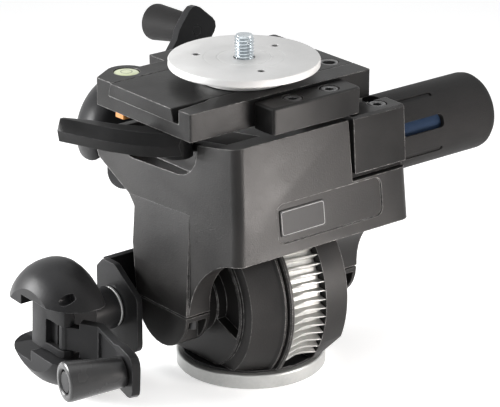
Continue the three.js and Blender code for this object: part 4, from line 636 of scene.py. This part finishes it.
# ---- label border, on the bare plate ----
def front_wall(z):
    """The y of the body's front wall, which leans, at a height."""
    return -43 + 7 * (z - 71.3) / 56.7


def rounded_rect(left, right, low, high, radius, steps=5):
    points = []
    for cx, cz, start in ((right - radius, low + radius, -90), (right - radius, high - radius, 0),
                          (left + radius, high - radius, 90), (left + radius, low + radius, 180)):
        points += arc(cx, cz, radius, start, start + 90, steps)
    return points


def on_label(x, z, lift):
    return Vector((x, front_wall(z) + 0.2 - lift, z)) * MM


def border(name, outer, inner, lift=0.05):
    bm = bmesh.new()
    count = len(outer)
    rings = []
    for outline, height in ((outer, 0.0), (outer, lift), (inner, lift), (inner, 0.0)):
        rings.append([bm.verts.new(on_label(x, z, height)) for x, z in outline])
    for r in range(4):
        low, high = rings[r], rings[(r + 1) % 4]
        for k in range(count):
            n = (k + 1) % count
            bm.faces.new((low[k], low[n], high[n], high[k]))
    return add_piece(name, bm, "print", "tilt_body", smooth=False)


border("label_border", rounded_rect(-14.4, 11.4, 80.6, 92.0, 1.3),
       rounded_rect(-14.1, 11.1, 80.9, 91.7, 1.0))


# ---- floor, lights, camera ----
floor_mesh = bpy.data.meshes.new("floor")
floor_mesh.from_pydata([(-4, -4, 0), (4, -4, 0), (4, 4, 0), (-4, 4, 0)], [], [(0, 1, 2, 3)])
floor = bpy.data.objects.new("floor", floor_mesh)
floor.location.z = -0.0002
scene.collection.objects.link(floor)
m, t, bsdf = new_material("floor")
bsdf.inputs["Base Color"].default_value = (0.93, 0.93, 0.93, 1)
bsdf.inputs["Roughness"].default_value = 0.9
bsdf.inputs["Specular IOR Level"].default_value = 0.0
bsdf.inputs["Emission Color"].default_value = (1, 1, 1, 1)
t.links.new(multiply(t, seen_directly(t), 0.45), bsdf.inputs["Emission Strength"])
floor_mesh.materials.append(m)

world = bpy.data.worlds.new("studio")
scene.world = world
world.use_nodes = True
t = world.node_tree
t.nodes.clear()
out = t.nodes.new("ShaderNodeOutputWorld")
soft = t.nodes.new("ShaderNodeBackground")
soft.inputs[0].default_value = (0.98, 0.99, 1.0, 1)
soft.inputs[1].default_value = 0.30
white = t.nodes.new("ShaderNodeBackground")
white.inputs[0].default_value = (1, 1, 1, 1)
white.inputs[1].default_value = 1.0
pick = t.nodes.new("ShaderNodeMixShader")
t.links.new(seen_directly(t), pick.inputs[0])
t.links.new(soft.outputs[0], pick.inputs[1])
t.links.new(white.outputs[0], pick.inputs[2])
t.links.new(pick.outputs[0], out.inputs[0])


def area(name, place, target, width, height, power, colour=(1, 1, 1)):
    light = bpy.data.lights.new(name, "AREA")
    light.shape = "RECTANGLE"
    light.size, light.size_y = width, height
    light.energy = power
    light.color = colour
    obj = bpy.data.objects.new(name, light)
    obj.location = place
    obj.rotation_euler = (Vector(target) - Vector(place)).to_track_quat("-Z", "Y").to_euler()
    obj.visible_camera = False
    scene.collection.objects.link(obj)


area("top_soft", (-0.10, 0.10, 0.95), (0, 0, 0.1), 0.9, 0.9, 3.1)
area("front_right", (0.10, -0.30, 0.06), (-0.06, -0.03, 0.08), 0.12, 0.10, 1.0, (1.0, 0.94, 0.90))
area("left_back", (-0.33, 0.28, 0.17), (-0.04, 0, 0.12), 0.20, 0.14, 3.3)
area("edge_right", (0.48, -0.30, 0.62), (0, 0, 0.12), 0.16, 0.16, 0.9)
area("fill_front", (-0.5, -1.3, 0.7), (0, 0, 0.09), 0.9, 0.6, 0.9)

azimuth, height = math.radians(-38.8), math.radians(20.9)
back = Vector((math.sin(azimuth) * math.cos(height), -math.cos(azimuth) * math.cos(height),
               math.sin(height)))
camera = bpy.data.cameras.new("camera")
camera.lens = 187.2
camera.sensor_width = 36
view = bpy.data.objects.new("camera", camera)
view.location = (-0.7290, -0.9061, 0.5252)
view.rotation_euler = (-back).to_track_quat("-Z", "Y").to_euler()
scene.collection.objects.link(view)
scene.camera = view
scene.view_settings.view_transform = "Standard"
